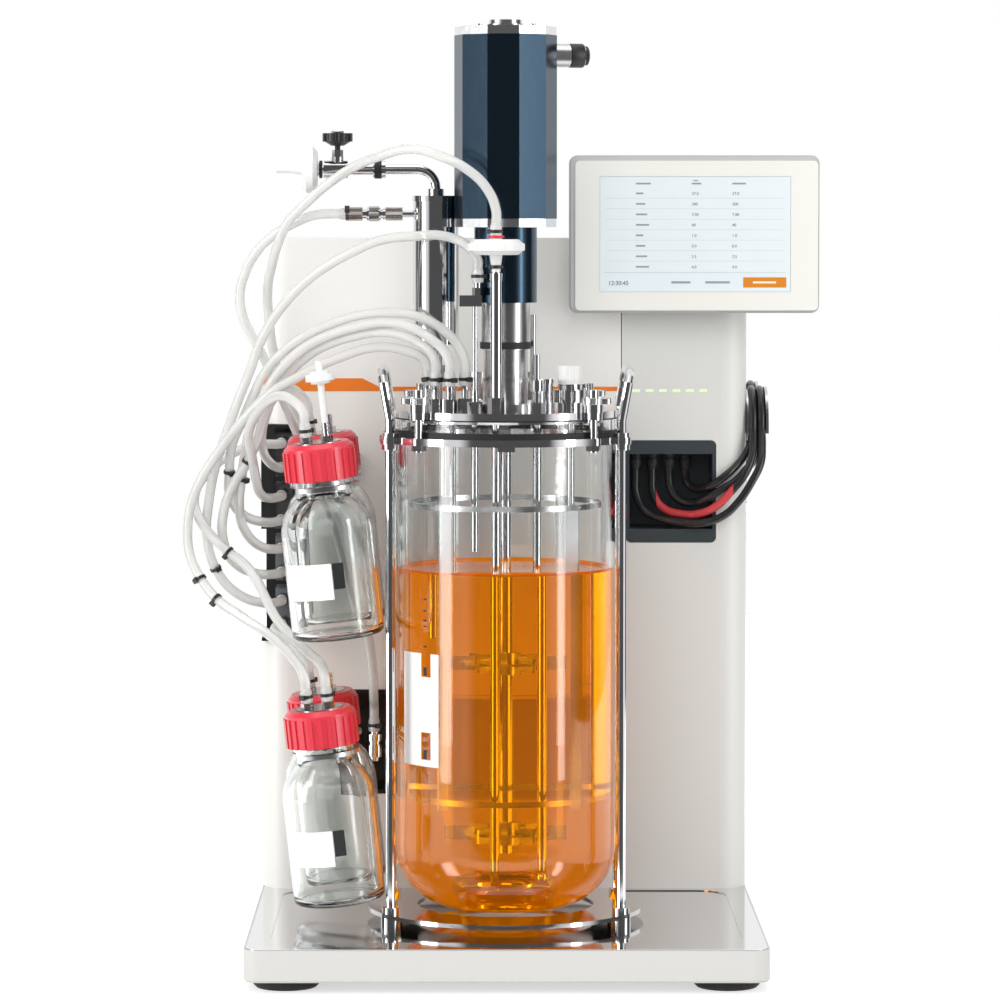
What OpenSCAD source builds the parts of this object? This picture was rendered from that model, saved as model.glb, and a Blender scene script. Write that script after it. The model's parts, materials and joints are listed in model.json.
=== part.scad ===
// Bench bioreactor: a stirred glass vessel in a steel carrying stand, on the tray of a control tower,
// with feed bottles, pumps, sensor leads, gas filters and an exit gas cooler.
// Millimetres. +Z is up and -Y is the front. The origin is on the bench under the middle of the
// instrument. Inside placed(), x = y = 0 is the vessel's own axis.

/* [Tray] */
// Width of the tray
tray_w = 363; // [330:1:440]
// Distance from the vessel's axis to the tray's front edge
tray_front = 152; // [135:1:180]
// Distance from the vessel's axis to the tray's back edge
tray_back = 296; // [292:1:350]
// Height of the tray housing with its steel plate
tray_h = 23; // [19:1:28]
// Plan radius of the tray's corners
tray_corner = 12; // [6:1:24]
// Thickness of the steel top plate
plate_t = 1.5; // [1:0.1:2.5]
// Depth of the drip recess pressed into the plate
drip_depth = 0.7; // [0.3:0.1:0.9]
// Diameter of the rubber feet
foot_d = 46; // [34:1:54]
// Height of the rubber feet
foot_h = 8; // [6:0.5:12]

/* [Tower] */
// Width of the tower
tower_w = 363; // [330:1:435]
// Distance from the vessel's axis to the tower's front face
tower_face = 116; // [110:1:130]
// Depth of the tower shells
tower_d = 174; // [150:1:178]
// Height of the tower above the tray
tower_h = 487; // [420:1:585]
// Wall thickness of the tower shells
tower_wall = 3; // [2.5:0.1:4]
// Plan radius of the tower's front corners
tower_corner = 20; // [12:1:24]
// Width of the grey column on the right
column_w = 94; // [84:1:112]
// Sideways offset of tray and tower from the vessel's axis
body_shift = 0; // [-2:0.5:4]
// Height of the accent stripe's thin line above the bench
stripe_z = 404; // [380:1:415]
// Height of the accent stripe's broad end
stripe_h = 9.5; // [7:0.5:12]

/* [Screen] */
// Width of the touch screen case
screen_w = 184; // [160:1:220]
// Height of the touch screen case
screen_h = 116; // [100:1:135]
// Depth of the touch screen case
screen_d = 24; // [20:1:29]
// Width of the display glass area
display_w = 140; // [120:1:148]
// Height of the display glass area
display_h = 84.5; // [72:0.5:90]
// Height of the case's underside above the bench
screen_z = 463; // [440:1:500]

/* [Bays] */
// Width of the sensor bay
sensor_bay_w = 67; // [58:1:70]
// Height of the sensor bay
sensor_bay_h = 76; // [64:1:90]
// Height of the sensor bay's floor above the bench
sensor_bay_z = 291; // [270:1:310]
// Width of the pump bay
pump_bay_w = 26; // [24:1:30]
// Depth of the pump bay
pump_bay_d = 80; // [66:1:96]
// Height of the pump bay's floor above the bench
pump_bay_z = 217; // [200:1:220]
// Distance between the pumps' axes
pump_pitch = 39; // [37:0.5:42]
// Width of the service bay
service_bay_w = 150; // [125:1:155]
// Height of the service bay
service_bay_h = 78; // [66:1:93]

/* [Vessel] */
// Outer diameter of the glass vessel
vessel_d = 158; // [140:1:180]
// Thickness of the glass wall
glass_t = 4; // [3:0.5:6]
// Height of the glass vessel
vessel_h = 352; // [295:1:422]
// Radius of the vessel's rounded bottom edge
vessel_round = 44; // [30:1:52]
// Height of the thick glass flange
flange_t = 8; // [6:0.5:11]
// How far the flange stands out past the glass wall
flange_out = 3; // [2:0.5:4]
// Gap between the vessel's bottom and the tray
vessel_lift = 7; // [6.5:0.5:14]

/* [Stand] */
// Outer diameter of the stand's base ring
base_ring_d = 199; // [190:1:225]
// Width of the stand's base ring
base_ring_w = 36; // [26:1:38]
// Thickness of the stand's base ring
base_ring_t = 3; // [2:0.5:4]
// Thickness of the stand's top ring
top_ring_t = 5; // [4:0.5:7]
// Diameter of the stand's rods
rod_d = 7; // [6:0.5:8.5]
// Distance of the rods from the middle, front to back
rod_y = 44; // [38:1:50]
// Height of the carrying handles above the lid
handle_rise = 31; // [26:1:38]
// Diameter of the clamp studs
stud_d = 6; // [5:0.5:7]

/* [Lid] */
// Thickness of the lid plate
lid_t = 5; // [4:0.5:7]
// Thickness of the flat seal under the glass flange
gasket_t = 4; // [3:0.5:5]
// Thickness of the seal ring between flange and lid
oring_t = 1; // [0.8:0.1:2]

/* [Drive] */
// Diameter of the stirrer shaft
shaft_d = 8; // [7:0.5:10]
// Outer diameter of the steel bearing housing
bearing_d = 32; // [28:0.5:36]
// Height of the steel bearing housing
bearing_h = 43; // [36:1:52]
// Height of the steel clutch housing
clutch_h = 28; // [23:1:34]
// Diameter of the motor adapter
adapter_d = 45; // [38:1:50]
// Height of the motor adapter
adapter_h = 54; // [45:1:65]
// Width of the motor body across its flats
motor_w = 70; // [60:1:80]
// Height of the motor body
motor_h = 137; // [115:1:164]
// Number of flat sides of the motor body
motor_sides = 10; // [8:2:12]
// Diameter of the impellers
impeller_d = 66; // [55:1:72]
// Height of the impeller blades
blade_h = 10; // [8:0.5:13]
// Number of blades on an impeller
blade_count = 6; // [4:1:8]

/* [Bottles] */
// Diameter of a feed bottle
bottle_d = 66; // [58:1:68]
// Height of a feed bottle without its cap
bottle_h = 133; // [118:1:140]
// Diameter of a screw cap
cap_d = 52; // [48:1:54]
// Height of a screw cap
cap_h = 26; // [23:1:31]
// Sideways lean of the bottles in degrees
bottle_lean = 6; // [0:1:8]
// Forward lean of the bottles in degrees
bottle_tip = 2; // [0:1:4]

/* [Hoses and leads] */
// Outer diameter of the silicone hoses
hose_d = 7; // [6:0.5:8]
// Outer diameter of the sensor leads
lead_d = 6; // [5:0.5:7]

/* [Hidden] */
$fn = 48;

// Running clearance on a turning piece, and the gap left beside a fixed one
run_fit = 0.05;
seat_gap = 0.3;

// Heights above the bench, from the tray up
tray_top = foot_h + tray_h;
base_ring_z = tray_top + 5;
glass_z = tray_top + vessel_lift;
glass_top = glass_z + vessel_h;
flange_z = glass_top - flange_t;
gasket_z = flange_z - gasket_t;
top_ring_z = gasket_z - top_ring_t;
lid_z = glass_top + oring_t;
lid_top = lid_z + lid_t;
bearing_z = lid_top;
collar_z = bearing_z + bearing_h;
collar_h = 5.5;
clutch_z = collar_z + collar_h;
adapter_z = clutch_z + clutch_h;
motor_cap_h = 6;
motor_z = adapter_z + adapter_h;
motor_top = motor_z + motor_h;

// Radii about the vessel's axis
vessel_r = vessel_d / 2;
flange_r = vessel_r + flange_out;
stud_r = stud_d / 2;
stud_ring_r = flange_r + stud_r + 2;
lug_r = stud_r + 3.5;
ring_r = stud_ring_r + stud_r + 1;
rod_r = rod_d / 2;
rod_x = sqrt(pow(ring_r + 2, 2) - pow(rod_y, 2));

// The tower and its bays
tower_x0 = body_shift - tower_w / 2;
tower_x1 = body_shift + tower_w / 2;
tower_y1 = tower_face + tower_d;
tower_top = tray_top + tower_h;
column_x0 = tower_x1 - column_w;
seam = 0.6;
liner_t = 2.5;
sensor_bay_x0 = column_x0 + tower_wall + seat_gap;
sensor_bay_d = 52;
pump_bay_x1 = tower_x0 + pump_bay_w;
pump_bay_h = 4 * pump_pitch + 6;
pump_bay_y1 = tower_face + pump_bay_d;
pump_y = tower_face + 24;
service_bay_x0 = tower_x0 + 63;
service_bay_z = tray_top + 71.5;
service_bay_d = 62;
screen_cx = tower_x1 - column_w / 2 + 5;
screen_y0 = tower_face - 16 - screen_d;
screen_x1 = screen_cx + screen_w / 2;

// The box of the whole instrument, which puts the origin under its middle
box_mid_x = (body_shift - tray_w / 2 + max(screen_x1, body_shift + tray_w / 2)) / 2;
box_mid_y = (tray_back - tray_front) / 2;
module placed() translate([-box_mid_x, -box_mid_y, 0]) children();

// --- Shapes that several pieces share ---

// A rectangle with round corners, centred
module rounded_plan(size, r) {
    square([size.x - 2 * r, size.y], center = true);
    square([size.x, size.y - 2 * r], center = true);
    for (sx = [-1, 1], sy = [-1, 1])
        translate([sx * (size.x / 2 - r), sy * (size.y / 2 - r)]) circle(r);
}

// A solid of revolution from a list of [radius, height] steps, each step a cylinder on the last
module turned(steps, i = 0) {
    if (i < len(steps)) {
        cylinder(h = steps[i][1], r = steps[i][0]);
        translate([0, 0, steps[i][1]]) turned(steps, i + 1);
    }
}

// A straight round bar between two points
module bar(from, to, d) {
    way = to - from;
    long = norm(way);
    translate(from) rotate([0, acos(way.z / long), atan2(way.y, way.x)]) cylinder(h = long, d = d);
}

function unit(v) = v / norm(v);

// A bent tube through the points p, with round elbows of radius bend
module bent_tube(p, d, bend) {
    last = len(p) - 1;
    function turn(i) = (i == 0 || i == last) ? 0
        : acos(min(1, max(-1, unit(p[i] - p[i - 1]) * unit(p[i + 1] - p[i]))));
    function cut(i) = bend * tan(turn(i) / 2);
    for (i = [0 : last - 1]) {
        along = unit(p[i + 1] - p[i]);
        bar(p[i] + cut(i) * along, p[i + 1] - cut(i + 1) * along, d);
    }
    for (i = [1 : max(1, last - 1)]) if (last > 1 && turn(i) > 0.5) {
        u = unit(p[i] - p[i - 1]);
        v = unit(p[i + 1] - p[i]);
        mid = p[i] + unit(v - u) * bend / cos(turn(i) / 2);
        side = unit(p[i] - cut(i) * u - mid);
        axis = unit(cross(side, u));
        multmatrix([[side.x, u.x, axis.x, mid.x], [side.y, u.y, axis.y, mid.y], [side.z, u.z, axis.z, mid.z],
                    [0, 0, 0, 1]])
            rotate_extrude(angle = turn(i)) translate([bend, 0]) circle(d = d, $fn = 24);
    }
}

// A tube swept along a smooth curve through the points p
function spline_point(p, i, t) =
    let (a = p[max(i - 1, 0)], b = p[i], c = p[i + 1], e = p[min(i + 2, len(p) - 1)])
    0.5 * (2 * b + (c - a) * t + (2 * a - 5 * b + 4 * c - e) * t * t + (3 * b - a - 3 * c + e) * t * t * t);
function spline(p, steps) =
    concat([for (i = [0 : len(p) - 2], k = [0 : steps - 1]) spline_point(p, i, k / steps)], [p[len(p) - 1]]);
function carried(n, t) = unit(n - (n * t) * t);
function frames(tangents, n, i = 0) =
    i >= len(tangents) ? [] : let (m = carried(n, tangents[i])) concat([m], frames(tangents, m, i + 1));
module swept(c, d, sides) {
    last = len(c) - 1;
    tangents = [for (i = [0 : last]) unit(c[min(i + 1, last)] - c[max(i - 1, 0)])];
    start = abs(tangents[0].z) < 0.9 ? [0, 0, 1] : [0, 1, 0];
    normals = frames(tangents, start);
    rings = [for (i = [0 : last], k = [0 : sides - 1])
        let (a = 360 * k / sides, n = normals[i], b = cross(tangents[i], n))
        c[i] + d / 2 * (cos(a) * n + sin(a) * b)];
    faces = concat(
        [[for (k = [sides - 1 : -1 : 0]) k]],
        [for (i = [0 : last - 1], k = [0 : sides - 1])
            [i * sides + k, i * sides + (k + 1) % sides, (i + 1) * sides + (k + 1) % sides]],
        [for (i = [0 : last - 1], k = [0 : sides - 1])
            [i * sides + k, (i + 1) * sides + (k + 1) % sides, (i + 1) * sides + k]],
        [[for (k = [0 : sides - 1]) last * sides + k]]);
    polyhedron(rings, [for (f = faces) [for (j = [len(f) - 1 : -1 : 0]) f[j]]]);
}
module hose(points, d, steps = 1, sides = 8) swept(spline(points, steps), d, sides);

// The points of a path through the corners p, each corner rounded to an arc of radius bend
function rounded_path(p, bend, steps) = [
    p[0],
    for (i = [1 : len(p) - 2])
        let (
            u = unit(p[i] - p[i - 1]), v = unit(p[i + 1] - p[i]),
            turn = acos(min(1, u * v)),
            mid = p[i] + unit(v - u) * bend / cos(turn / 2),
            side = unit(p[i] - bend * tan(turn / 2) * u - mid))
        for (k = [0 : steps]) let (a = turn * k / steps) mid + bend * (cos(a) * side + sin(a) * u),
    p[len(p) - 1]];

// A ribbed hose nozzle that points up, with a cable tie's band near its top
module nozzle(h = 16, d = 5, base_d = 9) {
    cylinder(h = h * 0.3, d = base_d, $fn = 6);
    cylinder(h = h, d = d, $fn = 24);
    for (k = [0.55, 0.75]) translate([0, 0, h * k]) cylinder(h = h * 0.12, d1 = d + 1.2, d2 = d, $fn = 24);
}

// --- Tray ---
tray_mid_y = (tray_back - tray_front) / 2;
tray_len = tray_front + tray_back;
plate_inset = 1.2;
tray_edge = 1.2;
foot_inset_x = 28.5;
foot_inset_y = 35.5;

module tray_plan(inset)
    translate([body_shift, tray_mid_y]) rounded_plan([tray_w - 2 * inset, tray_len - 2 * inset], tray_corner - inset);

module tray_housing() placed() color([0.93, 0.92, 0.9]) difference() {
    union() {
        translate([0, 0, foot_h]) linear_extrude(tray_edge) tray_plan(tray_edge);
        translate([0, 0, foot_h + tray_edge]) linear_extrude(tray_h - tray_edge - 0.6) tray_plan(0);
    }
    translate([0, 0, tray_top - plate_t]) linear_extrude(plate_t) tray_plan(plate_inset);
}

drip_w = tray_w - 34;
drip_y0 = -tray_front + 30;
drip_y1 = tower_face - 8;

module tray_plate() placed() color([0.75, 0.76, 0.78]) difference() {
    translate([0, 0, tray_top - plate_t]) linear_extrude(plate_t) tray_plan(plate_inset + seat_gap);
    translate([body_shift, (drip_y0 + drip_y1) / 2, tray_top - drip_depth])
        linear_extrude(plate_t) rounded_plan([drip_w, drip_y1 - drip_y0], 22);
}

module rubber_feet() placed() color([0.08, 0.08, 0.08])
    for (sx = [-1, 1], y = [-tray_front + foot_inset_y, tray_back - foot_inset_y])
        translate([body_shift + sx * (tray_w / 2 - foot_inset_x), y, 0]) {
            cylinder(h = 2, d1 = foot_d - 4, d2 = foot_d);
            translate([0, 0, 2]) cylinder(h = foot_h - 2, d = foot_d);
        }

// --- Tower: two open-backed shells side by side, closed by one back panel ---
left_plan_w = column_x0 - seam - tower_x0;

// A shell's plan: square behind, one round front corner, on the left or the right
module shell_plan(x0, x1, inset, round_left) {
    r = tower_corner - inset;
    a = x0 + inset;
    b = x1 - inset;
    y0 = tower_face + inset;
    translate([a, y0 + r]) square([b - a, tower_d - inset - r]);
    translate([round_left ? a + r : a, y0]) square([b - a - r, r + 1]);
    translate([round_left ? a + r : b - r, y0 + r]) circle(r);
}

module shell(x0, x1, round_left) difference() {
    translate([0, 0, tray_top]) linear_extrude(tower_h) shell_plan(x0, x1, 0, round_left);
    translate([0, 0, tray_top + tower_wall]) linear_extrude(tower_h - 2 * tower_wall)
        shell_plan(x0, x1, tower_wall, round_left);
    translate([x0 + tower_wall, tower_y1 - tower_wall, tray_top + tower_wall])
        cube([x1 - x0 - 2 * tower_wall, tower_wall + 1, tower_h - 2 * tower_wall]);
}

module tower_shell() placed() color([0.93, 0.92, 0.9]) difference() {
    shell(tower_x0, column_x0 - seam, true);
    translate([tower_x0 - 1, tower_face - 1, pump_bay_z - seat_gap])
        cube([pump_bay_w + seat_gap + 1, pump_bay_d + seat_gap + 1, pump_bay_h + 2 * seat_gap]);
    translate([service_bay_x0 - seat_gap, tower_face - 1, service_bay_z - seat_gap])
        cube([service_bay_w + 2 * seat_gap, tower_wall + 2, service_bay_h + 2 * seat_gap]);
    stripe_solid(0.05);
}

module column_shell() placed() color([0.84, 0.84, 0.82]) difference() {
    shell(column_x0, tower_x1, false);
    translate([0, -1, 0]) bay_face(seat_gap);
    light_slots(0.05);
}

// The cooling slots start two thirds of the way up
vent_z = tray_top + 0.676 * tower_h;
module back_panel() placed() color([0.8, 0.8, 0.78]) difference() {
    translate([tower_x0 + tower_wall + seat_gap, tower_y1 - 2, tray_top + tower_wall + seat_gap])
        cube([tower_w - 2 * tower_wall - 2 * seat_gap, 2, tower_h - 2 * tower_wall - 2 * seat_gap]);
    translate([column_x0 - seam - tower_wall - seat_gap, tower_y1 - 3, tray_top])
        cube([seam + 2 * tower_wall + 2 * seat_gap, 4, tower_h]);
    for (i = [0 : 11], side = [0, 1])
        translate([tower_x0 + 40 + side * 110, tower_y1 - 3, vent_z + i * 9]) cube([80, 4, 4]);
    mains_cutout(seat_gap);
}

// The stripe lies in the shell's skin: it starts on the round corner, and a slope leads down from its
// broad end to a thin line that runs to the column
stripe_line_h = 3.2;
stripe_proud = 0.4;
module stripe_solid(grow) intersection() {
    x0 = tower_x0 + 1.5 - grow;
    x1 = column_x0 - seam - 2 + grow;
    broad = tower_x0 + 3 + tower_w * 0.2;
    translate([0, tower_face - 1, 0]) rotate([90, 0, 0]) mirror([0, 0, 1]) linear_extrude(tower_corner + 1)
        polygon([[x0, stripe_z - grow], [x1, stripe_z - grow], [x1, stripe_z + stripe_line_h + grow],
                 [broad + stripe_h + 3, stripe_z + stripe_line_h + grow],
                 [broad, stripe_z + stripe_h + grow], [x0, stripe_z + stripe_h + grow]]);
    translate([0, 0, stripe_z - 1]) linear_extrude(stripe_h + 2) difference() {
        shell_plan(tower_x0, column_x0 - seam, -stripe_proud, true);
        shell_plan(tower_x0, column_x0 - seam, 1 + grow, true);
    }
}

module accent_stripe() placed() color([0.93, 0.49, 0.05]) stripe_solid(0);

light_count = 6;
module light_slots(grow)
    for (i = [0 : light_count - 1])
        translate([column_x0 + 8 + i * 10 - grow, tower_face - 0.2, stripe_z - 0.6 - grow])
            cube([5.5 + 2 * grow, 1.5 + grow, 1.8 + 2 * grow]);

module status_lights() placed() color([0.75, 0.95, 0.6]) light_slots(0);

// --- Bays let into the tower ---
module open_box(x0, z0, w, d, h, t, y0 = tower_face) difference() {
    translate([x0, y0, z0]) cube([w, d, h]);
    translate([x0 + t, y0 - 1, z0 + t]) cube([w - 2 * t, d - t + 1, h - 2 * t]);
}

// The sensor bay is deeper above and below, where its slate rims are thick
sensor_rim = 10;
bay_corner = 4;
module bay_face(grow) translate([sensor_bay_x0 + sensor_bay_w / 2, tower_face, sensor_bay_z + sensor_bay_h / 2])
    rotate([-90, 0, 0]) linear_extrude(sensor_bay_d) rounded_plan([sensor_bay_w + 2 * grow, sensor_bay_h + 2 * grow],
        bay_corner + grow);
module sensor_bay() placed() color([0.18, 0.21, 0.23]) difference() {
    bay_face(0);
    translate([sensor_bay_x0 + liner_t, tower_face - 1, sensor_bay_z + sensor_rim])
        cube([sensor_bay_w - 2 * liner_t, sensor_bay_d - liner_t + 1, sensor_bay_h - 2 * sensor_rim]);
}

lead_count = 4;
socket_pitch = 12.5;
plug_d = 9;
socket_y = tower_face + 20;
socket_z = sensor_bay_z + sensor_bay_h - sensor_rim;
function socket_x(i) = sensor_bay_x0 + liner_t + plug_d / 2 + 0.7 + i * socket_pitch;
plug_len = 26;
module lead_plug() {
    cylinder(h = 4, d1 = lead_d + 1, d2 = plug_d);
    translate([0, 0, 4]) cylinder(h = plug_len - 4, d = plug_d);
}
module lead_plugs() placed() color([0.12, 0.12, 0.13]) {
    for (i = [0 : lead_count - 1]) {
        translate([socket_x(i), socket_y, socket_z - 12]) {
            cylinder(h = 3, d1 = lead_d + 1, d2 = plug_d);
            translate([0, 0, 3]) cylinder(h = 9, d = plug_d);
        }
        translate([tail_x, tail_y(i), tail_z(i) - seat_gap]) mirror([0, 0, 1]) lead_plug();
    }
}

function pump_z(i) = pump_bay_z + 3 + pump_pitch * (i + 0.5);
pump_bar_w = 10;
module pump_bay() placed() color([0.1, 0.11, 0.12]) {
    difference() {
        translate([tower_x0, tower_face, pump_bay_z]) cube([pump_bay_w, pump_bay_d, pump_bay_h]);
        translate([tower_x0 - 1, tower_face - 1, pump_bay_z + liner_t])
            cube([pump_bay_w - liner_t + 1, pump_bay_d - liner_t + 1, pump_bay_h - 2 * liner_t]);
        for (i = [0 : 3]) translate([pump_bay_x1 - liner_t - 1, pump_y, pump_z(i)]) rotate([0, 90, 0])
            cylinder(h = liner_t + 2, d = pump_boss_d + 2 * seat_gap);
    }
    translate([tower_x0, tower_face, pump_bay_z + pump_bay_h - 2 * pump_pitch])
        cube([pump_bar_w, 8, 2 * pump_pitch]);
}

// A peristaltic pump: a head with an open track, a rotor with three rollers, a gear motor behind
pump_boss_d = 14;
head_w = 34;
head_t = 13;
track_d = 29;
rotor_d = 20;
roller_d = 7;
pump_axle_d = 4;
head_x0 = pump_bay_x1 - liner_t - seat_gap - head_t;
stub_dz = 9;
stub_x = head_x0 + 5.2;
stub_len = 17;
stub_y = pump_y - head_w / 2 - stub_len;
// The tip of one of a pump's two hose connectors, the upper for s = 1 and the lower for s = -1
function stub_tip(i, s) = [stub_x, stub_y, pump_z(i) + s * stub_dz];
module pump_connectors()
    for (i = [0 : 3], s = [-1, 1]) translate([stub_x, stub_y + stub_len + 1, pump_z(i) + s * stub_dz])
        rotate([90, 0, 0]) turned([[2.5, 4], [4.5, 5], [2.6, stub_len - 8]]);
module pump_heads() placed() color([0.55, 0.57, 0.58]) {
    for (i = [0 : 3]) translate([head_x0, pump_y, pump_z(i)]) rotate([0, 90, 0]) difference() {
        union() {
            linear_extrude(head_t) rounded_plan([head_w, head_w], 5);
            translate([0, 0, head_t]) cylinder(h = liner_t + 2 * seat_gap, d = pump_boss_d);
        }
        translate([0, 0, -1]) cylinder(h = head_t - 2, d = track_d);
        cylinder(h = head_t + 10, d = pump_axle_d + 2 * run_fit);
    }
    pump_connectors();
}

module pump_rotor(i) placed() color([0.85, 0.85, 0.83])
    translate([head_x0, pump_y, pump_z(i)]) rotate([0, 90, 0]) {
        translate([0, 0, 0.5]) cylinder(h = 2, d = rotor_d);
        translate([0, 0, head_t - 5]) cylinder(h = 1.5, d = rotor_d);
        for (a = [0 : 120 : 240]) rotate(a) translate([rotor_d / 2 - roller_d / 2 + 1, 0, 2.5])
            cylinder(h = head_t - 7.5, d = roller_d, $fn = 24);
        translate([0, 0, 0.5]) cylinder(h = head_t + 8, d = pump_axle_d, $fn = 24);
    }
module pump_rotor_1() pump_rotor(0);
module pump_rotor_2() pump_rotor(1);
module pump_rotor_3() pump_rotor(2);
module pump_rotor_4() pump_rotor(3);

module pump_motors() placed() color([0.6, 0.6, 0.62])
    for (i = [0 : 3]) translate([pump_bay_x1 + seat_gap, pump_y, pump_z(i)]) rotate([0, 90, 0]) difference() {
        union() {
            cylinder(h = 22, d = 33);
            translate([0, 0, 22]) cylinder(h = 30, d = 28);
        }
        translate([0, 0, -1]) cylinder(h = 11, d = pump_axle_d + 2 * run_fit, $fn = 24);
    }

module service_bay() placed() color([0.2, 0.19, 0.2])
    open_box(service_bay_x0, service_bay_z, service_bay_w, service_bay_d, service_bay_h, liner_t);

coupling_count = 3;
coupling_y = tower_face + 6;
coupling_z = service_bay_z + 24;
function coupling_x(i) = service_bay_x0 + 21 + i * 34;
module service_couplings() placed() color([0.72, 0.73, 0.75])
    for (i = [0 : coupling_count - 1]) translate([coupling_x(i), coupling_y, coupling_z]) {
        turned([[3.5, 3], [5.5, 9], [4.5, 3], [5.5, 5], [3, 4]]);
        translate([0, 0, 24]) cylinder(h = 7, d1 = 5.5, d2 = 4.5);
        translate([0, 0, 7.5])
            rotate([-90, 0, 0]) cylinder(h = service_bay_d - liner_t - (coupling_y - tower_face), d = 8);
    }

// --- Touch screen ---
screen_cz = screen_z + screen_h / 2;
display_cx = screen_cx + 0.5;
display_cz = screen_cz;
plate_dx = 1.6;
plate_dz = -1;
module screen_bracket() placed() color([0.5, 0.51, 0.52])
    translate([screen_cx - 35, screen_y0 + screen_d, screen_z + 6])
        cube([50, tower_face - screen_y0 - screen_d, tower_top - screen_z - 10]);

// The case's edge steps in to a flat front plate that sits a little low and to the right
module screen_case() placed() color([0.95, 0.95, 0.93]) difference() {
    translate([screen_cx, screen_y0 + screen_d, screen_cz]) rotate([90, 0, 0]) {
        linear_extrude(screen_d - 4) rounded_plan([screen_w, screen_h], 6);
        linear_extrude(screen_d - 2.6) rounded_plan([screen_w - 1.2, screen_h - 1.2], 5.6);
        linear_extrude(screen_d - 1.2) rounded_plan([screen_w - 2.4, screen_h - 2.8], 5);
        translate([plate_dx, plate_dz, 0])
            linear_extrude(screen_d) rounded_plan([screen_w - 5.5, screen_h - 6], 3.5);
    }
    translate([display_cx, screen_y0 + 1.6, display_cz]) rotate([90, 0, 0])
        linear_extrude(3) square([display_w + 0.4, display_h + 0.4], center = true);
}

module screen_panel() placed() color([0.86, 0.9, 0.93])
    translate([display_cx, screen_y0 + 1.6, display_cz]) rotate([90, 0, 0])
        linear_extrude(1.4) square([display_w, display_h], center = true);

// Two saddle hooks on the column's right side that the sensor leads are laid over
hook_z = stripe_z - 28;
hook_r = 18;
hook_w = 12.6;
hook_plate = 1.5;
hook_y = [tower_face + 35, tower_y1 - 36];
function lead_r(i) = hook_r + (lead_d + 0.3) * (i < 2 ? 0.5 : 1.5) + 0.4;
function lead_x(i) = tower_x1 + hook_plate + (lead_d + 0.2) * (i % 2 + 0.5);
module lead_hook() placed() color([0.75, 0.77, 0.78])
    for (y = hook_y) translate([tower_x1, y, hook_z]) rotate([90, 0, 90]) {
        linear_extrude(hook_plate) hook_face(hook_r + 10);
        translate([0, 0, hook_plate]) linear_extrude(hook_w) difference() {
            hook_face(hook_r);
            circle(hook_r - 2.5);
        }
        translate([0, 0, hook_plate + hook_w]) linear_extrude(2) hook_face(hook_r + 12);
    }
module hook_face(r) intersection() {
    circle(r);
    translate([-r, -4]) square([2 * r, r + 4]);
}

// --- Back of the tower: the mains inlet with its fuse drawer's recess ---
inlet_x = tower_x1 - 45;
inlet_z = tray_top + 44;
inlet_w = 48;
inlet_h = 60;
module mains_cutout(grow)
    translate([inlet_x - inlet_w / 2 + 4 - grow, tower_y1 - 5, inlet_z - inlet_h / 2 + 4 - grow])
        cube([inlet_w - 8 + 2 * grow, 8, inlet_h - 8 + 2 * grow]);

module mains_inlet() placed() color([0.08, 0.08, 0.08]) difference() {
    union() {
        translate([inlet_x - inlet_w / 2, tower_y1, inlet_z - inlet_h / 2]) cube([inlet_w, 2.5, inlet_h]);
        translate([inlet_x - inlet_w / 2 + 4, tower_y1 - 26, inlet_z - inlet_h / 2 + 4])
            cube([inlet_w - 8, 26, inlet_h - 8]);
    }
    translate([inlet_x - 12, tower_y1 - 14, inlet_z - 19]) cube([24, 20, 16]);
    translate([inlet_x - 11, tower_y1 - 10, inlet_z + 3]) cube([22, 20, 16]);
}

// --- Carrying stand ---
collar_r = rod_r + 2.5;
pad_r = rod_r + 3.5;
module ring_plan(r, hole_r) difference() {
    union() {
        circle(r, $fn = 96);
        for (sx = [-1, 1], sy = [-1, 1]) translate([sx * rod_x, sy * rod_y]) circle(rod_r + 3.5);
    }
    circle(hole_r, $fn = 96);
    for (sx = [-1, 1], sy = [-1, 1]) translate([sx * rod_x, sy * rod_y]) circle(rod_r + run_fit);
}

module stand_base() placed() color([0.78, 0.79, 0.8]) {
    translate([0, 0, base_ring_z]) linear_extrude(base_ring_t) ring_plan(base_ring_d / 2, base_ring_d / 2 - base_ring_w);
}

module stud_places() for (a = [45 : 90 : 315]) rotate(a) translate([stud_ring_r, 0]) children();

module stand_ring() placed() color([0.78, 0.79, 0.8]) translate([0, 0, top_ring_z]) {
    linear_extrude(top_ring_t) difference() {
        union() {
            ring_plan(ring_r, vessel_r + 0.6);
            stud_places() circle(lug_r - 1);
        }
        stud_places() circle(stud_r + run_fit);
        circle(vessel_r + 0.6, $fn = 96);
    }
    translate([-6, -ring_r - 2.5, -3]) cube([12, 4, top_ring_t + 2]);
}

// One handle: a rod through both rings at the front and one at the back, joined over the top, with
// a foot pad and the collars that carry the rings
handle_lean = 6;
module handle(side) {
    x = side * rod_x;
    lean_x = side * (rod_x + handle_lean);
    top = lid_top + handle_rise;
    corners = [[x, -rod_y, base_ring_z - 1.5], [x, -rod_y, lid_top - 6], [lean_x, -rod_y, top - rod_r],
               [lean_x, rod_y, top - rod_r], [x, rod_y, lid_top - 6], [x, rod_y, base_ring_z - 1.5]];
    swept(rounded_path(corners, 13, 4), rod_d, 16);
    for (s = [-1, 1]) translate([x, s * rod_y, 0]) {
        translate([0, 0, tray_top - drip_depth]) cylinder(h = base_ring_z - tray_top + drip_depth, r = pad_r);
        translate([0, 0, base_ring_z + base_ring_t]) cylinder(h = 4, r = collar_r);
        translate([0, 0, top_ring_z - 4]) cylinder(h = 4, r = collar_r);
        translate([0, 0, top_ring_z + top_ring_t]) cylinder(h = 3, r = collar_r);
    }
}
module handle_left() placed() color([0.78, 0.79, 0.8]) handle(-1);
module handle_right() placed() color([0.78, 0.79, 0.8]) handle(1);

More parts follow.
